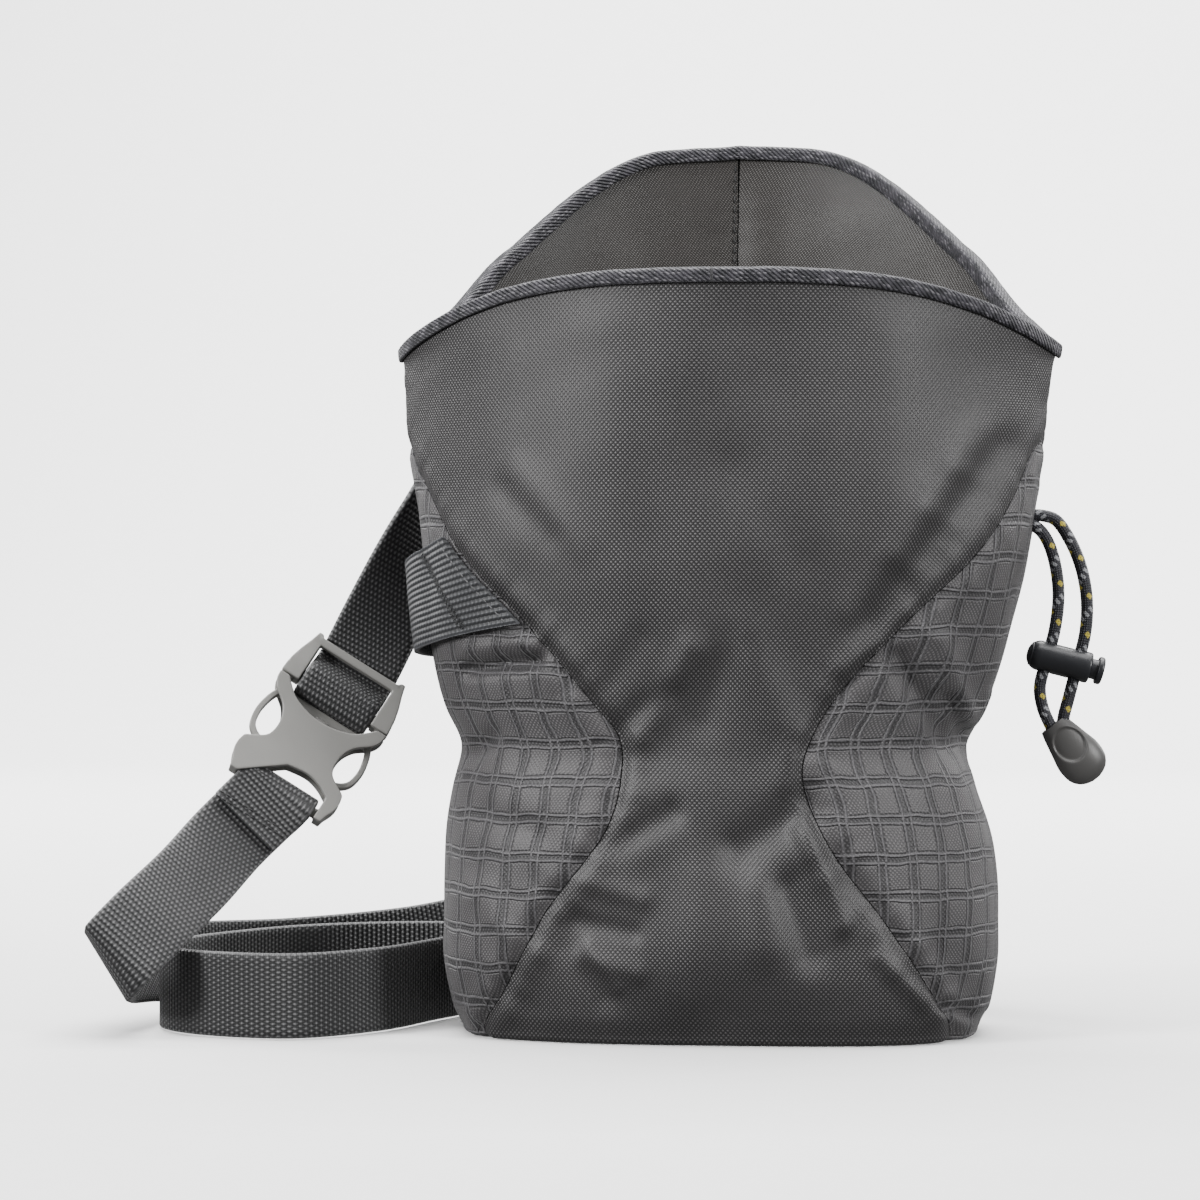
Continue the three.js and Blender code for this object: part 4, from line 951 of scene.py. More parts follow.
def drop_piece():
    out = np.array([0.05, -1.0, 0.0])
    out = unit(out - CORD_END_WAY * (out @ CORD_END_WAY))
    side = np.cross(CORD_END_WAY, out)
    angle = round_angles(96)
    rings = []
    for along in np.linspace(0, 1, 90) ** 0.9:
        width = float(drop_width(along)) * CORD_END_HALF_WIDTH
        thick = float(drop_thick(along)) * CORD_END_HALF_THICKNESS
        lean = np.sin(angle) * width
        height = np.cos(angle) * thick
        spot = np.hypot((along - 0.36) / 0.27, (np.sin(angle) * float(drop_width(along)) + 0.02) / 0.66)
        dish = 1 - smooth_step(0.86, 1.04, spot)
        dished = np.where(np.cos(angle) > 0, dish * (0.55 + 0.5 * along), 0)
        rings.append(
            CORD_END_TOP + CORD_END_WAY * along * CORD_END_LENGTH
            + np.outer(height - dished, out) + np.outer(lean, side)
        )
    return make_object("cord_end_drop", *loft(rings))


cord_drop = drop_piece()
smooth_shade(cord_drop, 70)
hand_over(cord_drop, end_rubber, ["cord_end"])


# The panels of the bag
SEAM_LINES = []
for seam_turn in (left_seam_at, right_seam_at, rear_seam_at, lambda level: 360 - rear_seam_at(level)):
    seam_levels = np.linspace(0, 1, 260)
    SEAM_LINES.append(shell(seam_turn(seam_levels), seam_levels))


# How many points are measured against a seam at once
SINK_BATCH = 8000


def turn_grid(start, end, levels, columns):
    """The turn and the level at each point of a grid between two turns at each level."""
    turn = start[:, None] + (end - start)[:, None] * np.linspace(0, 1, columns + 1)
    return turn, np.repeat(levels[:, None], columns + 1, axis=1)


def seam_sink(points, level):
    """The groove along each seam, and the small puckers that the sewing draws beside it."""
    flat = points.reshape(-1, 3)
    sink = np.zeros(len(flat))
    for number, line in enumerate(SEAM_LINES):
        run = run_along(line)
        for start in range(0, len(flat), SINK_BATCH):
            part = flat[start:start + SINK_BATCH]
            gap = np.linalg.norm(part[:, None, :] - line[None, ::2, :], axis=-1)
            nearest = gap.argmin(axis=1)
            away = gap[np.arange(len(part)), nearest]
            place = run[::2][nearest]
            pucker = np.sin(2 * math.pi * place / 8.5 + number)
            pucker = pucker + 0.6 * np.sin(2 * math.pi * place / 5.3 + 2 * number)
            groove = 0.28 * hump(away - 4.2, 2.4) - hump(away, 1.7)
            sink[start:start + SINK_BATCH] += groove + 0.11 * pucker * hump(away - 3.5, 4.5)
    # Deepest below the waist, and shallower toward the mouth
    depth = 1.05 - 0.40 * smooth_step(0.55, 0.65, level) - 0.25 * smooth_step(0.86, 0.95, level)
    return sink.reshape(points.shape[:-1]) * depth * smooth_step(1.0, 0.97, level)


def wall_panel(name, start_at, end_at, top_level, columns, rows, middle_turn):
    """A panel of the wall between two seams, rounded in at its foot. Its cloth lies straight up its
    middle turn."""
    levels = np.linspace(0, top_level, rows + 1)
    start = turn_beside(start_at(levels), levels, SEAM_GAP / 2)
    end = turn_beside(end_at(levels), levels, -SEAM_GAP / 2)
    turn, level = turn_grid(start, end, levels, columns)
    base = shell(turn, level)
    out = wall_axes(turn, level)[2]
    rise = relief(base, level) + seam_sink(base, level)
    grid = base + out * rise[..., None]
    flat_out = unit(out[0] * np.array([1, 1, 0]))
    foot = []
    for degrees in (72, 54, 36, 18):
        a = math.radians(degrees)
        down = np.array([0, 0, FOOT_ROUNDING * math.sin(a)])
        foot.append(grid[0] - flat_out * FOOT_ROUNDING * (1 - math.cos(a)) - down)
    grid = np.concatenate([np.array(foot), grid])
    middles = (middle_turn - start) / np.maximum(end - start, 1e-6) * columns
    middles = np.concatenate([np.full(len(foot), middles[0]), middles])
    uvs = lengths_over(grid, np.clip(middles, 0, columns))
    return cloth_piece(name, grid, uvs, WALL_THICKNESS)


def rear_left_seam_at(level):
    return -rear_seam_at(level)


def far_rear_seam_at(level):
    return 360 - rear_seam_at(level)


# Node, seams at both sides, top level, columns, rows, middle turn, material and slot of each panel
for node, start_at, end_at, top_level, columns, rows, middle_turn, cloth, slot in (
    ("front_panel", left_seam_at, right_seam_at, 1.0, 180, 190, 0, front_cloth, "front_cloth"),
    ("back_panel", rear_seam_at, far_rear_seam_at, 1.0, 150, 170, 180, back_cloth, "back_cloth"),
    ("side_panel_right", right_seam_at, rear_seam_at, GUSSET_TOP, 110, 170, 72, ripstop, "ripstop"),
    ("side_panel_left", rear_left_seam_at, left_seam_at, GUSSET_TOP, 110, 170, -72, ripstop, "ripstop"),
):
    panel = wall_panel(f"{node}_cloth", start_at, end_at, top_level, columns, rows, middle_turn)
    hand_over(panel, cloth, [node])


def base_piece():
    """The flat floor of the bag, a little sunk round its edge where it is sewn."""
    count = 160
    turn = 360 * np.arange(count) / count
    outline = shell(turn, 0.0)[:, :2]
    out = unit(wall_axes(turn, np.zeros(count))[2][:, :2])
    rings = []
    for inset, height in ((2.6, 1.35), (2.35, 0.9), (2.5, 0.35), (3.0, 0.0)):
        flat = outline - out * inset
        rings.append(np.column_stack([flat, np.full(count, height)]))
    middle = rings[-1][:, :2].mean(axis=0)
    for share in (0.7, 0.4, 0.15):
        flat = middle + (rings[3][:, :2] - middle) * share
        rings.append(np.column_stack([flat, np.full(count, 0.0)]))
    top = [np.column_stack([middle + (rings[0][:, :2] - middle) * share, np.full(count, 1.2)])
           for share in (0.15, 0.5, 0.9)]
    body, faces = loft(top + rings)
    uvs = body[:, :2]
    piece = make_object("base_panel_cloth", body, [face[::-1] for face in faces], uvs)
    smooth_shade(piece, 60)
    return piece


hand_over(base_piece(), front_cloth, ["base_panel"])


def facing_piece():
    """The collar sewn inside the mouth; its two ends meet in a seam at the middle of the back."""
    low = 1 - FACING_DROP / WALL_HEIGHT
    levels = np.linspace(low, 0.997, 64)
    columns = 300
    start = turn_beside(-180.0, levels, FACING_SLIT / 2)
    end = turn_beside(180.0, levels, -FACING_SLIT / 2)
    turn, level = turn_grid(start, end, levels, columns)
    outer_depth = WALL_THICKNESS + FACING_GAP
    base = shell(turn, level)
    from_slit = (180 - np.abs(turn)) * SLIT_DEGREE
    pucker = np.sin(2 * math.pi * base[..., 2] / 6.0 + np.sign(turn))
    rise = 0.10 * pucker * hump(from_slit, 5) + 0.5 * hump(from_slit, 1.4)
    rise = rise - 0.35 * hump(from_slit - 4.5, 3)
    rise = rise * smooth_step(1.0, 0.94, level)
    depth = outer_depth - np.minimum(rise, 0.35)
    grid = skin(turn, level, depth)
    uvs = lengths_over(grid, np.full(len(levels), columns / 2))
    return cloth_piece("mouth_facing_cloth", grid, uvs, FACING_THICKNESS)


hand_over(facing_piece(), facing_cloth, ["mouth_facing"])


def binding_piece():
    """Tape folded over the rim: a rounded channel that waves a little along its length."""
    rim_half = (WALL_THICKNESS + FACING_GAP + FACING_THICKNESS) / 2
    inner = rim_half + 0.22
    outer = inner + 0.85
    leg = 2.35
    crown = 1.15
    half_inside = [(inner * 0.8, 0.25), (inner, 0.1), (inner, -leg)]
    half_leg = [
        (inner + 0.35, -leg - 0.18), (outer - 0.1, -leg), (outer, -leg + 0.4), (outer + 0.05, -leg * 0.5),
    ]
    profile = mirror_line(half_inside) + half_inside + half_leg
    for degrees in np.linspace(0, 180, 13):
        a = math.radians(degrees)
        across = math.copysign(abs(math.cos(a)) ** 0.8, math.cos(a))
        profile.append((outer * across, crown * math.sin(a) ** 0.8))
    profile = np.array(profile + mirror_line(half_leg))
    steps = 720
    turns = 360 * np.arange(steps) / steps
    centre = skin(turns, 1.0, rim_half)
    travel = unit(np.roll(centre, -1, axis=0) - np.roll(centre, 1, axis=0))
    out = wall_axes(turns, 1.0)[2]
    smooth_out = out.copy()
    for _ in range(6):
        smooth_out = unit(np.roll(smooth_out, 1, axis=0) + smooth_out + np.roll(smooth_out, -1, axis=0))
    up = unit(np.cross(smooth_out, travel))
    run = run_along(centre)
    wobble = waves(centre, BINDING_WAVES)
    rings = []
    uvs = []
    around = run_along(profile)
    for i in range(steps):
        grown = profile * (1 + 0.06 * wobble[i])
        side = np.outer(grown[:, 0], smooth_out[i])
        rings.append(centre[i] + side + np.outer(grown[:, 1] + wobble[i] * 0.6, up[i]))
        uvs.append(np.stack([np.full(len(profile), run[i]), around], -1))
    body, faces = loft(rings, caps=False)
    piece = make_object("rim_binding_tape", body, faces, np.concatenate(uvs))
    smooth_shade(piece, 80)
    return piece


hand_over(binding_piece(), binding_tape, ["rim_binding"])


# The loops sewn on the bag
def stand_off(share, flat):
    inside = np.clip((share - flat) / (1 - 2 * flat), 0, 1)
    return np.sin(math.pi * inside) ** 1.2


BRUSH_FAR_TURN = -126.0
BRUSH_REST_TURN = -60.0


def brush_place(u, v, lift):
    """A point over the brush loop: u along it from its far end, v up it, lift above its inside."""
    height = 0.648 - 0.055 * (1 - u) + (v - 0.5) * WEBBING_WIDTH / WALL_HEIGHT
    seam = turn_beside(left_seam_at(height), height, -0.6)
    turn = BRUSH_FAR_TURN + (seam - BRUSH_FAR_TURN) * u
    share = (turn - BRUSH_FAR_TURN) / (BRUSH_REST_TURN - BRUSH_FAR_TURN)
    off = SEAM_GAP + np.where(share < 1, BRUSH_LOOP_BULGE * stand_off(share, 0.12), 0)
    return skin(turn, height, -off - lift)


def brush_loop_piece():
    u, v = np.meshgrid(np.linspace(0, 1, 121), np.linspace(0, 1, 37))
    tack = hump(u - 0.80, 0.022)
    grid = brush_place(u, v, WEBBING_THICKNESS - 0.30 * tack)
    uvs = lengths_over(grid, np.zeros(len(grid)))
    uvs[..., 1] = (v - 0.5) * WEBBING_WIDTH
    return cloth_piece("brush_loop_webbing", grid, uvs, WEBBING_THICKNESS - 0.25)


hand_over(brush_loop_piece(), loop_webbing, ["brush_loop"])

BELT_LOOP_LEVEL = 0.815
BELT_OFF = 2.4


def belt_loop_place(u, v, lift):
    near = shell(180.0, BELT_LOOP_LEVEL)
    rise = np.linalg.norm(shell(180.0, BELT_LOOP_LEVEL + 0.01) - near) / 0.01
    level = BELT_LOOP_LEVEL + (v - 0.5) * BELT_LOOP_HEIGHT / rise
    turn = turn_beside(180.0, level, (u - 0.5) * BELT_LOOP_WIDTH)
    stand = (BELT_OFF + WEBBING_THICKNESS / 2 + SEAM_GAP) * np.minimum(1, 3.2 * stand_off(v, 0.04))
    return skin(turn, level, -(SEAM_GAP + stand) - lift)


def belt_loop_piece():
    u, v = np.meshgrid(np.linspace(0, 1, 41), np.linspace(0, 1, 97))
    grid = belt_loop_place(u, v, WEBBING_THICKNESS)
    uvs = np.stack([v * BELT_LOOP_RUN, (u - 0.5) * WEBBING_PATTERN], -1)
    return cloth_piece("belt_loop_webbing", grid, uvs, WEBBING_THICKNESS - 0.2)


hand_over(belt_loop_piece(), webbing, ["belt_loop"])

# The buckle lies in a plane that faces the front; its own axes are across, along and out.
BUCKLE_CENTRE = np.array([-1.273 * MOUTH_HALF_WIDTH, 0.033 * HALF_DEPTH, 0.436 * CORNER_HEIGHT])
BUCKLE_ACROSS = unit((0.8404, 0.0883, -0.5347))
buckle_lean = Matrix.Rotation(math.radians(-18), 3, Vector(BUCKLE_ACROSS))
BUCKLE_ALONG = np.array(buckle_lean @ Vector(unit((0.531, 0.0558, 0.8455))))
BUCKLE_OUT = unit(np.cross(BUCKLE_ACROSS, BUCKLE_ALONG))
BUCKLE_AXES = (BUCKLE_ACROSS, BUCKLE_ALONG, BUCKLE_OUT)


def in_buckle(across, along, out):
    return BUCKLE_CENTRE + BUCKLE_ACROSS * across + BUCKLE_ALONG * along + BUCKLE_OUT * out


def flat_curve(points):
    """A smooth open line through places in a plane."""
    places, _ = smooth_path([(x, y, 0) for x, y in points], 10)
    return places[:, :2]


def extruded(outline, low, high):
    """Points and faces of a plate with this outline, which turns left."""
    outline = np.asarray(outline, float)
    count = len(outline)
    points = [(x, y, low) for x, y in outline] + [(x, y, high) for x, y in outline]
    k = np.arange(count)
    n = (k + 1) % count
    faces = np.stack([k, n, n + count, k + count], -1).tolist()
    faces.append(list(range(count))[::-1])
    faces.append(list(range(count, 2 * count)))
    return points, faces


def swept_bar(line, width, low, high):
    line = np.asarray(line, float)
    way = unit(np.gradient(line, axis=0))
    side = np.stack([-way[:, 1], way[:, 0]], -1) * width / 2
    outline = np.concatenate([line - side, (line + side)[::-1]])
    area = np.sum(outline[:, 0] * np.roll(outline[:, 1], -1) - np.roll(outline[:, 0], -1) * outline[:, 1])
    return extruded(outline if area > 0 else outline[::-1], low, high)


def box(low, high):
    x0, y0, z0 = low
    x1, y1, z1 = high
    return extruded([(x0, y0), (x1, y0), (x1, y1), (x0, y1)], z0, z1)


def moulding(name, bodies, bevel):
    """Joins overlapping bodies to one moulding with softly rounded edges."""
    points = []
    faces = []
    for body, body_faces in bodies:
        first = len(points)
        points.extend([tuple(p) for p in body])
        faces.extend([[first + k for k in face] for face in body_faces])
    piece = make_object(name, points, faces)
    edges = piece.modifiers.new("edges", "BEVEL")
    edges.width = bevel * MM
    edges.segments = 3
    edges.limit_method = "ANGLE"
    edges.angle_limit = math.radians(40)
    remesh = piece.modifiers.new("one_body", "REMESH")
    remesh.mode = "VOXEL"
    remesh.voxel_size = 0.2 * MM
    soften = piece.modifiers.new("soft_edges", "SMOOTH")
    soften.factor = 0.5
    soften.iterations = 5
    with_modifiers(piece)
    put_at(piece, BUCKLE_CENTRE, BUCKLE_AXES)
    piece.data.shade_smooth()
    return piece


ARM_GAP = WEBBING_WIDTH / 2 + 3 * SEAM_GAP
# Across, along: the socket's cross-shaped plate, in shares of the half width and the joint's height
SOCKET_TOP = ((0.83, 1.00), (0.70, 0.74), (0.55, 0.50), (0.26, 0.29), (0.00, 0.24))
SOCKET_SIDE = (
    (1.00, 1.00), (0.985, 0.74), (0.91, 0.48), (0.67, 0.06), (0.565, -0.42), (0.60, -0.99),
    (0.78, -1.27), (0.915, -1.44), (0.95, -1.90), (0.82, -2.54),
)
SOCKET_CROTCH = ((0.717, -1.775), (0.52, -1.56), (0.26, -1.44), (0.00, -1.41))


def shares(rows):
    return [(x * BUCKLE_HALF_WIDTH, y * BUCKLE_JOINT) for x, y in rows]


def socket_piece():
    top = shares(SOCKET_TOP)
    side = flat_curve(shares(SOCKET_SIDE)).tolist()
    crotch = shares(SOCKET_CROTCH)
    top_curve = flat_curve(top + mirror_line(top)[1:]).tolist()
    crotch_curve = flat_curve(mirror_line(crotch) + crotch[::-1][1:]).tolist()
    foot = [(ARM_GAP, BUCKLE_FOOT)]
    outline = mirror_line(foot) + crotch_curve + foot + side[::-1] + top_curve + mirror_line(side[::-1])
    inside = BUCKLE_HALF_THICKNESS - PLATE_THICKNESS
    back_top = [(9.4, 5.7), (-9.4, 5.7)]
    back = mirror_line(foot) + crotch_curve + foot + side[::-1] + back_top + mirror_line(side[::-1])
    bodies = [
        extruded(outline, inside - 0.2, BUCKLE_HALF_THICKNESS + 0.1),
        extruded(back, -BUCKLE_HALF_THICKNESS, -inside),
    ]
    for way in (-1, 1):
        x = way * ARM_GAP
        far = way * BUCKLE_HALF_WIDTH * 0.93
        cheek = [(x, BUCKLE_FOOT), (far - way * 1.3, BUCKLE_FOOT), (far, -14), (far, -10.9), (x, -10.4)]
        cheek = cheek if way > 0 else cheek[::-1]
        bodies.append(extruded(cheek, -BUCKLE_HALF_THICKNESS, BUCKLE_HALF_THICKNESS))
    ring = [(BAR_RADIUS * math.cos(a), BAR_RADIUS * math.sin(a)) for a in round_angles(24)]
    rings = [[(x, FOOT_BAR + u, v) for u, v in ring] for x in (-ARM_GAP - 0.5, ARM_GAP + 0.5)]
    bodies.append(loft(rings))
    return moulding("buckle_socket_shell", bodies, bevel=0.75)


hand_over(socket_piece(), buckle_nylon, ["buckle_socket"])


def plug_piece():
    joint = BUCKLE_JOINT + SEAM_GAP + 0.1
    inner = ARM_GAP - SEAM_GAP - 0.3
    bodies = []
    for way in (-1, 1):
        rings = []
        for along, near, far, thick in (
            (joint, inner, 15.2, 3.4), (10.2, inner, 15.1, 3.1), (12.5, inner, 14.8, 2.7),
            (15.5, inner, 14.1, 2.0), (18.6, inner, 13.1, 1.35), (20.5, inner + 0.2, 12.6, 1.15),
            (21.5, inner + 1.0, 12.4, 0.85),
        ):
            corners = [(near, -thick), (far, -thick), (far, thick), (near, thick)]
            ring = [(way * x, along, z) for x, z in corners]
            rings.append(ring[::-1] if way > 0 else ring)
        bodies.append(loft(rings))
    thin = TOP_BAR_HALF_THICKNESS
    bodies.append(box((-inner - 1, BUCKLE_TOP - TOP_BAR_DEPTH, -thin), (inner + 1, BUCKLE_TOP, thin + 0.2)))
    middle = BUCKLE_JOINT + MIDDLE_BAR_DEPTH / 2 + SEAM_GAP
    half = MIDDLE_BAR_HEIGHT / 2
    reach = MIDDLE_BAR_DEPTH / 2
    bodies.append(box((-inner - 0.5, middle - reach, -half), (inner + 0.5, middle + reach, half)))
    prong = [
        (12.4, joint + 1), (12.6, 4.4), (14.0, 0.6), (14.6, -3.6), (13.6, -7.4), (10.8, -9.2), (8.6, -9.0),
    ]
    for way in (-1, 1):
        line = flat_curve([(way * x, y) for x, y in prong])
        bodies.append(swept_bar(line, PRONG_WIDTH, -PRONG_HALF_THICKNESS, PRONG_HALF_THICKNESS))
    # The bar that joins the prongs, and the tongue between them
    bodies.append(box((-12.5, 2.4, -half), (12.5, 4.9, 0.3)))
    bodies.append(box((-1.6, -6.1, -1), (1.6, 2.9, 0.7)))
    return moulding("buckle_plug_frame", bodies, bevel=0.5)


hand_over(plug_piece(), buckle_nylon, ["buckle_plug"])

# The belt: each row is a place on its middle line and the way that its face looks
STRAP_HALF = WEBBING_THICKNESS / 2
UPPER_LEAN = -5.6
LOWER_LEAN = 12.6
SEWN_LAP = 11.0
# Turn, level, off: the belt's way round the left side and over the back of the bag
WALL_RUN = (
    (-112, 0.745, 6.5), (-125, 0.800, 4.2), (-139, 0.820, 3.0), (-156, 0.820, 2.6), (-171, 0.815, 2.4),
    (-180, 0.815, 2.4), (-190, 0.815, 2.4),
)
# X, y, lift, rise and the face's way: shares of the mouth's half width, the half depth, the
# webbing's width and the corner's height
FREE_RUN = (
    (0.37, 1.16, 0.0, 0.980, 0.3, -0.8, 0.5),
    (0.54, 1.24, 0.0, 0.955, 0.5, -0.3, 0.8),
    (0.63, 1.29, 0.0, 0.860, 1, 0, 0.15),
    (0.66, 1.30, 0.0, 0.600, 1, 0, 0),
    (0.64, 1.32, 0.0, 0.280, 1, 0, 0),
    (0.60, 1.34, 0.6, 0.030, 1, 0, -0.3),
    (0.52, 1.35, 0.10, 0.006, 0.5, 0, -1),
    (0.36, 1.34, 0.12, 0.0, 0, -0.1, -1),
    (0.16, 1.24, 0.38, 0.0, 0, -0.7, -0.7),
    (-0.06, 1.14, 0.52, 0.0, 0, -1, 0),
    (-0.28, 1.12, 0.52, 0, 0.3, -0.95, 0),
    (-0.52, 1.05, 0.52, 0, 0.65, -0.75, 0),
    (-0.77, 0.74, 0.52, 0, 0.8, -0.6, 0),
    (-0.90, 0.26, 0.52, 0, 0.92, -0.4, 0),
    (-1.04, -0.36, 0.52, 0, 0.83, -0.55, 0),
    (-1.26, -0.74, 0.52, 0, 0.3, -0.95, 0),
    (-1.52, -0.66, 0.52, 0, 0.2, -1, 0),
    (-1.68, -0.42, 0.52, 0, -0.5, -0.9, 0),
    (-1.726, -0.15, 0.52, 0, -1, 0, 0),
    (-1.69, 0.16, 0.52, 0, -0.8, 0.6, 0),
    (-1.60, 0.50, 0.52, 0, -0.6, 0.8, 0),
    (-1.40, 0.98, 0.52, 0, -0.4, 1, 0),
    (-1.10, 1.24, 0.52, 0, -0.1, 1, 0),
    (-0.72, 1.26, 0.52, 0, 0, 1, 0),
    (-0.38, 1.28, 0.52, 0, 0, 1, 0),
    (-0.20, 1.35, 0.53, 0, -0.36, 0.93, 0),
    (-0.16, 1.43, 0.55, 0, -1, 0, 0),
    (-0.20, 1.51, 0.60, 0, -0.3, -0.95, 0),
    (-0.40, 1.56, 0.80, 0, 0, -1, 0),
    (-0.72, 1.53, 0.92, 0, 0, -1, 0),
    (-1.12, 1.47, 0.66, 0, 0, -1, 0),
    (-1.48, 1.20, 0.56, 0, 0.4, -1, -0.05),
    (-1.70, 0.62, 0.62, 0, 0.9, -0.4, 0.15),
    (-1.81, -0.06, 0.72, 0, 0.95, -0.1, 0.5),
    (-1.845, -0.52, 0.79, 0, 0.8, 0.3, 0.5),
    (-1.79, -0.84, 0.98, 0, 0.2, 0.95, 0.1),
    (-1.707, -0.75, 0.50, 0.104, -0.41, 0.81, -0.41),
    (-1.60, -0.46, 0.00, 0.225, -0.49, 0.70, -0.50),
)


def belt_rows():
    """The belt's rows from the tail over the buckle, round the bag and back to the buckle's foot."""
    rows = []

    def buckle_row(along, out, face_along, face_out, lean, slope):
        sideways = lean * math.tan(math.radians(slope))
        rows.append((in_buckle(sideways, along, out), BUCKLE_ALONG * face_along + BUCKLE_OUT * face_out))

    wrap = MIDDLE_BAR_HEIGHT / 2 + SEAM_GAP + STRAP_HALF
    low = BUCKLE_JOINT - wrap * 0.75
    middle = BUCKLE_JOINT + MIDDLE_BAR_DEPTH / 2
    top = BUCKLE_TOP - TOP_BAR_DEPTH / 2
    behind = -(TOP_BAR_HALF_THICKNESS + SEAM_GAP + STRAP_HALF)
    tail = behind - WEBBING_LAYER
    for along, out, face_along, face_out, lean in (
        (top + TAIL_LENGTH, tail - 1.5, 0, -1, TAIL_LENGTH),
        (top + TAIL_LENGTH * 0.5, tail - 0.6, 0, -1, TAIL_LENGTH * 0.5),
        (top, tail, 0, -1, 0),
        (middle, -wrap - 0.8, 0, -1, 0),
        (low + 0.8, -wrap * 0.8, -0.7, -0.7, 0),
        (low, 0, -1, 0, 0),
        (low + 0.8, wrap * 0.8, -0.7, 0.7, 0),
        (middle, wrap + 0.15, 0, 1, 0),
        (middle + MIDDLE_BAR_DEPTH * 1.1, wrap + 0.15, 0.2, 1, 0),
        (middle + MIDDLE_BAR_DEPTH * 1.9, 0.2, 0.75, 0.65, 0),
        (top - TOP_BAR_DEPTH * 1.1, behind + 0.1, 0.4, 0.9, 0),
        (top + TOP_BAR_DEPTH, behind, 0, 1, TOP_BAR_DEPTH),
    ):
        buckle_row(along, out, face_along, face_out, lean, UPPER_LEAN)
    for turn, level, off in WALL_RUN:
        out = wall_axes(turn, level)[2]
        rows.append((shell(turn, level) + out * off, -out))
    for x, y, lift, rise, *face in FREE_RUN:
        at = np.array([x * MOUTH_HALF_WIDTH, y * HALF_DEPTH, lift * WEBBING_WIDTH + rise * CORNER_HEIGHT])
        rows.append((at, np.array(face, float)))
    wrap = BAR_RADIUS + 1.5 * SEAM_GAP + STRAP_HALF
    lapped = WEBBING_LAYER / 2
    ends = [
        (FOOT_BAR - SEWN_LAP - 5, -lapped - 0.3, 0, -1),
        (FOOT_BAR - SEWN_LAP * 0.6, -lapped - 0.2, 0, -1),
    ]
    for degrees in (-90, -45, 0, 45, 90):
        a = math.radians(degrees)
        ends.append((FOOT_BAR + math.cos(a) * wrap, math.sin(a) * wrap, math.cos(a), math.sin(a)))
    ends += [(FOOT_BAR - SEWN_LAP * 0.6, lapped + 0.2, 0, 1), (FOOT_BAR - SEWN_LAP, lapped, 0, 1)]
    for along, out, face_along, face_out in ends:
        buckle_row(along, out, face_along, face_out, -max(0, FOOT_BAR - along), LOWER_LEAN)
    return rows


def belt_piece():
    rows = belt_rows()
    places = np.array([at for at, _ in rows])
    faces = unit(np.array([face for _, face in rows]))
    gaps = np.linalg.norm(np.diff(places, axis=0), axis=1)
    steps = np.maximum(3, np.round(gaps / 1.7).astype(int))
    line, ways = smooth_path(places, steps)
    share = np.concatenate([np.arange(n) / n + i for i, n in enumerate(steps)] + [[len(steps)]])
    knots = np.arange(len(faces))
    looks = np.stack([np.interp(share, knots, faces[:, k]) for k in range(3)], -1)
    for _ in range(3):
        looks[1:-1] = (looks[:-2] + looks[1:-1] + looks[2:]) / 3
    looks = unit(looks - ways * np.sum(looks * ways, axis=1, keepdims=True))
    across = unit(np.cross(ways, looks))
    run = run_along(line)
    half = WEBBING_WIDTH / 2
    flat = np.linspace(-half + 0.55, half - 0.55, 15)
    upper = [(a, STRAP_HALF) for a in flat]
    right = [(half - 0.18, 0.50), (half, 0.0), (half - 0.18, -0.50)]
    profile = np.array(upper + right + [(-a, -t) for a, t in upper] + [(-a, -t) for a, t in right])
    rings = line[:, None] + across[:, None] * profile[:, :1] + looks[:, None] * profile[:, 1:]
    uvs = np.concatenate([np.stack([np.full(len(profile), length), profile[:, 0]], -1) for length in run])
    piece = make_object("waist_belt_webbing", *loft(rings), uvs)
    smooth_shade(piece, 75)
    return piece


hand_over(belt_piece(), webbing, ["waist_belt"])


# Stitches: one tree lays them along any line
def stitch_tree():
    """Named inputs give the pitch, the length and the thread's radius, all in metres."""
    tree = bpy.data.node_groups.new("stitch_row", "GeometryNodeTree")
    tree.interface.new_socket("Line", in_out="INPUT", socket_type="NodeSocketGeometry")
    for name in ("Stitch Pitch", "Stitch Length", "Thread Radius"):
        tree.interface.new_socket(name, in_out="INPUT", socket_type="NodeSocketFloat")
    tree.interface.new_socket("Thread", in_out="INPUT", socket_type="NodeSocketMaterial")
    tree.interface.new_socket("Stitches", in_out="OUTPUT", socket_type="NodeSocketGeometry")
    line, pitch, length, radius, material = tree.nodes.new("NodeGroupInput").outputs[:5]
    curve = add_node(tree, "GeometryNodeMeshToCurve", {"Mesh": line})
    evenly = add_node(tree, "GeometryNodeResampleCurve", {"Curve": curve, "Length": pitch}, mode="LENGTH")
    bead = add_node(tree, "GeometryNodeMeshUVSphere", {"Segments": 8, "Rings": 6, "Radius": 1.0})
    half = add_node(tree, "ShaderNodeMath", [length, 0.5], operation="MULTIPLY")
    size = add_node(tree, "ShaderNodeCombineXYZ", [radius, radius, half])
    shaped = add_node(tree, "GeometryNodeTransform", {"Geometry": bead, "Scale": size})
    tangent = add_node(tree, "GeometryNodeInputTangent")
    turn = add_node(tree, "FunctionNodeAlignRotationToVector", {"Vector": tangent}, axis="Z")
    beads = {"Points": evenly, "Instance": shaped, "Rotation": turn}
    laid = add_node(tree, "GeometryNodeInstanceOnPoints", beads)
    real = add_node(tree, "GeometryNodeRealizeInstances", {"Geometry": laid})
    smooth = add_node(tree, "GeometryNodeSetShadeSmooth", {"Geometry": real})
    done = add_node(tree, "GeometryNodeSetMaterial", {"Geometry": smooth, "Material": material})
    add_node(tree, "NodeGroupOutput", [done])
    return tree


STITCH_TREE = stitch_tree()


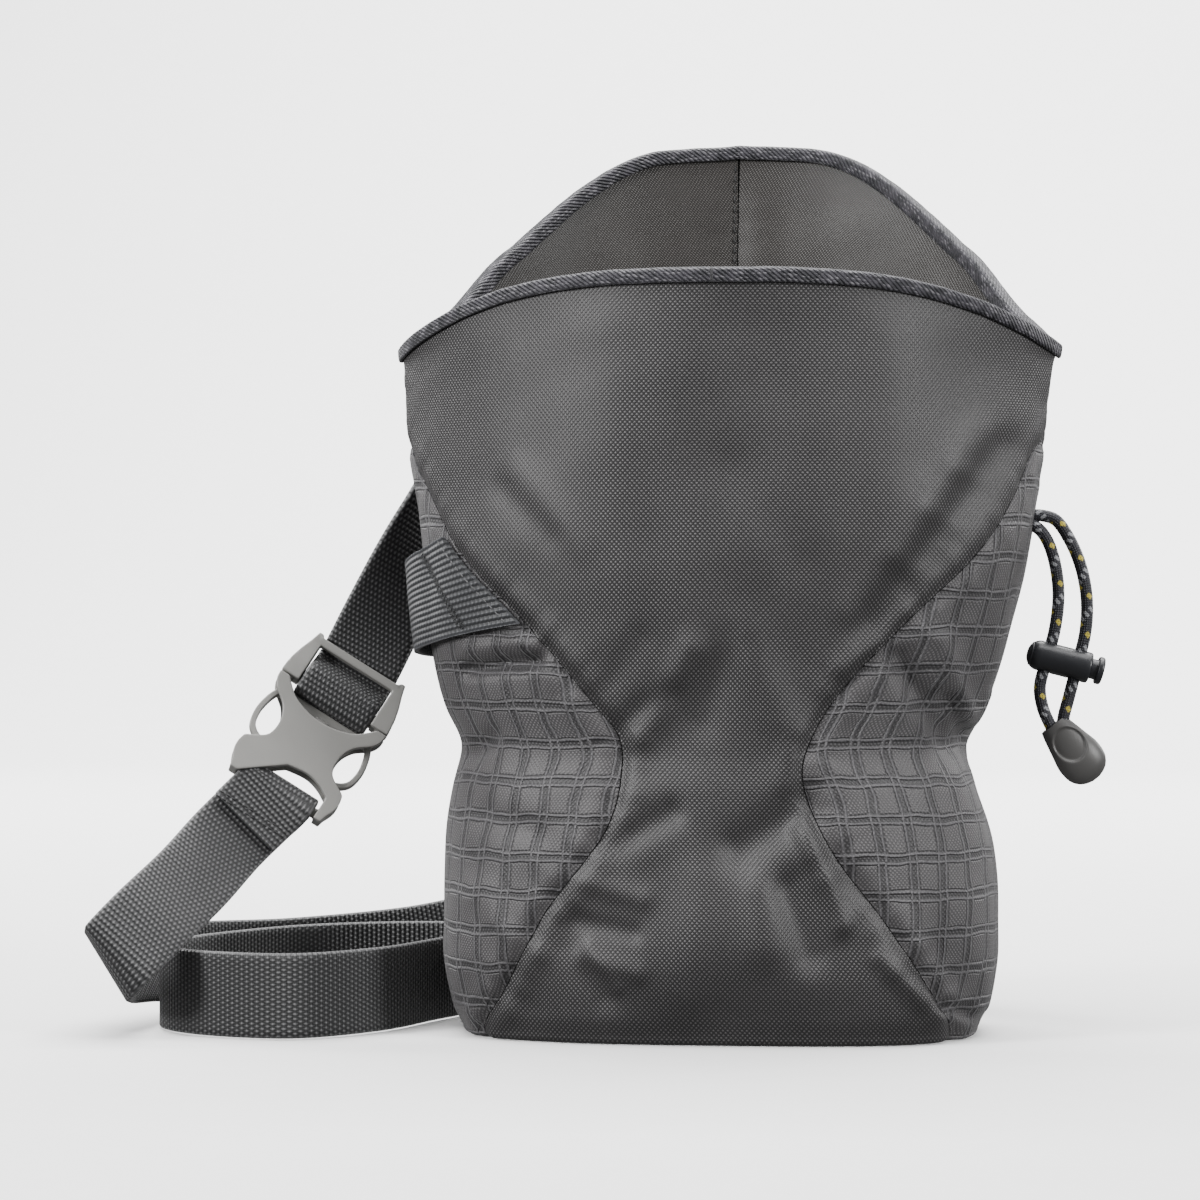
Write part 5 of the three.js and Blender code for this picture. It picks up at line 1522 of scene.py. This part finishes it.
def sew(name, lines, material, pitch, length, radius):
    """Stitches along lines of points in millimetres."""
    points = []
    edges = []
    for line in lines:
        first = len(points)
        points.extend((np.asarray(line) * MM).tolist())
        edges.extend([(first + k, first + k + 1) for k in range(len(line) - 1)])
    mesh = bpy.data.meshes.new(name)
    mesh.from_pydata(points, edges, [])
    piece = bpy.data.objects.new(name, mesh)
    bpy.context.scene.collection.objects.link(piece)
    modifier = piece.modifiers.new("stitches", "NODES")
    modifier.node_group = STITCH_TREE
    values = {
        "Stitch Pitch": pitch * MM, "Stitch Length": length * MM,
        "Thread Radius": radius * MM, "Thread": material,
    }
    for item in STITCH_TREE.interface.items_tree:
        if item.in_out == "INPUT" and item.name in values:
            modifier[item.identifier] = values[item.name]
    with_modifiers(piece)
    hand_over(piece, material)


facing_levels = np.linspace(0.66, 0.985, 60)
inside_depth = WALL_THICKNESS + FACING_GAP + FACING_THICKNESS
seam_turns = turn_beside(180.0, facing_levels, 0.9)
facing_line = skin(seam_turns, facing_levels, inside_depth + 0.02)
sew("facing_seam_stitches", [facing_line], dark_thread, 2.5, 1.9, 0.22)

tack_v = np.linspace(0.06, 0.94, 40)
tack_lines = []
for middle in (0.785, 0.815):
    zigzag = middle + 0.012 * np.where(np.arange(40) % 2, 1, -1)
    tack_lines.append(brush_place(zigzag, tack_v, WEBBING_THICKNESS - 0.28))
sew("brush_loop_bartack", tack_lines, dark_thread, 0.9, 1.3, 0.17)
edge_line = brush_place(np.full(30, 0.965), np.linspace(0.05, 0.95, 30), WEBBING_THICKNESS - 0.02)
sew("brush_loop_end_stitches", [edge_line], grey_thread, 2.2, 1.6, 0.2)

loop_lines = [belt_loop_place(np.linspace(0.06, 0.94, 20), np.full(20, v), WEBBING_THICKNESS - 0.02)
              for v in (0.035, 0.07, 0.93, 0.965)]
sew("belt_loop_stitches", loop_lines, dark_thread, 2.0, 1.5, 0.2)

lap_at = FOOT_BAR - SEWN_LAP
lap_top = WEBBING_LAYER / 2 + STRAP_HALF + 0.10
lap_lines = []
for along in (1.6, 3.0):
    sideways = -(SEWN_LAP - along) * math.tan(math.radians(LOWER_LEAN))
    lap_lines.append([in_buckle(sideways + a, lap_at + along, lap_top) for a in np.linspace(-9, 9, 20)])
sew("belt_end_stitches", lap_lines, dark_thread, 1.6, 1.3, 0.22)


# Stage
def pale_sweep():
    """A pale paper: the floor turns up into a wall far behind the bag."""
    turn = np.linspace(0.1, math.pi / 2, 14)
    rows = [(-4000, 0), (1400, 0)]
    rows += [(1400 + 900 * math.sin(a), 900 - 900 * math.cos(a)) for a in turn]
    rows += [(2300, 5000)]
    grid = np.array([[(-5000, y, z), (5000, y, z)] for y, z in rows], float)
    piece = make_object("pale_sweep", grid.reshape(-1, 3), grid_faces(1, len(grid) - 1))
    piece.data.shade_smooth()
    surface = {"Roughness": 0.95, "Specular IOR Level": 0.05}
    material, tree, shader = blank_material("matt_pale_paper", surface)
    place = add_node(tree, "ShaderNodeTexCoord", out=3)
    fibre = add_node(tree, "ShaderNodeTexNoise", {"Vector": place, "Scale": 90})
    shades = {0: fibre, 6: linear("#f8f8f8"), 7: linear("#fbfbfb")}
    paper = add_node(tree, "ShaderNodeMix", shades, 2, data_type="RGBA")
    finish_surface(tree, shader, paper, fibre, 0.02)
    piece.data.materials.append(material)
    # White paper this near would light the cloth from all sides and hide its folds
    piece.visible_diffuse = False
    piece.visible_glossy = False


def soft_light(name, place, target, size, power):
    data = bpy.data.lights.new(name, "AREA")
    data.shape = "RECTANGLE"
    data.size, data.size_y = size
    data.energy = power
    light = bpy.data.objects.new(name, data)
    light.location = place
    light.rotation_euler = (Vector(target) - Vector(place)).to_track_quat("-Z", "Y").to_euler()
    bpy.context.scene.collection.objects.link(light)


pale_sweep()
BAG_MIDDLE = (0, 0, 0.1)
soft_light("left_box", (-1.0, -0.75, 0.62), BAG_MIDDLE, (0.3, 0.5), 20)
soft_light("right_box", (1.05, -0.60, 0.50), BAG_MIDDLE, (0.25, 0.5), 13)
soft_light("back_left_box", (-1.2, 1.1, 0.7), BAG_MIDDLE, (0.5, 0.5), 9)
soft_light("back_right_box", (1.2, 1.1, 0.7), BAG_MIDDLE, (0.5, 0.5), 9)
soft_light("top_box", (0, 0.15, 1.5), (0, 0.1, 0), (1.8, 1.8), 66)
soft_light("paper_light", (0, 1.0, 1.6), (0, 2.3, 0.4), (1.6, 0.5), 112)
world = bpy.data.worlds.new("soft_studio")
world.use_nodes = True
world.node_tree.nodes["Background"].inputs["Color"].default_value = (1, 1, 1, 1)
world.node_tree.nodes["Background"].inputs["Strength"].default_value = 0.26
bpy.context.scene.world = world
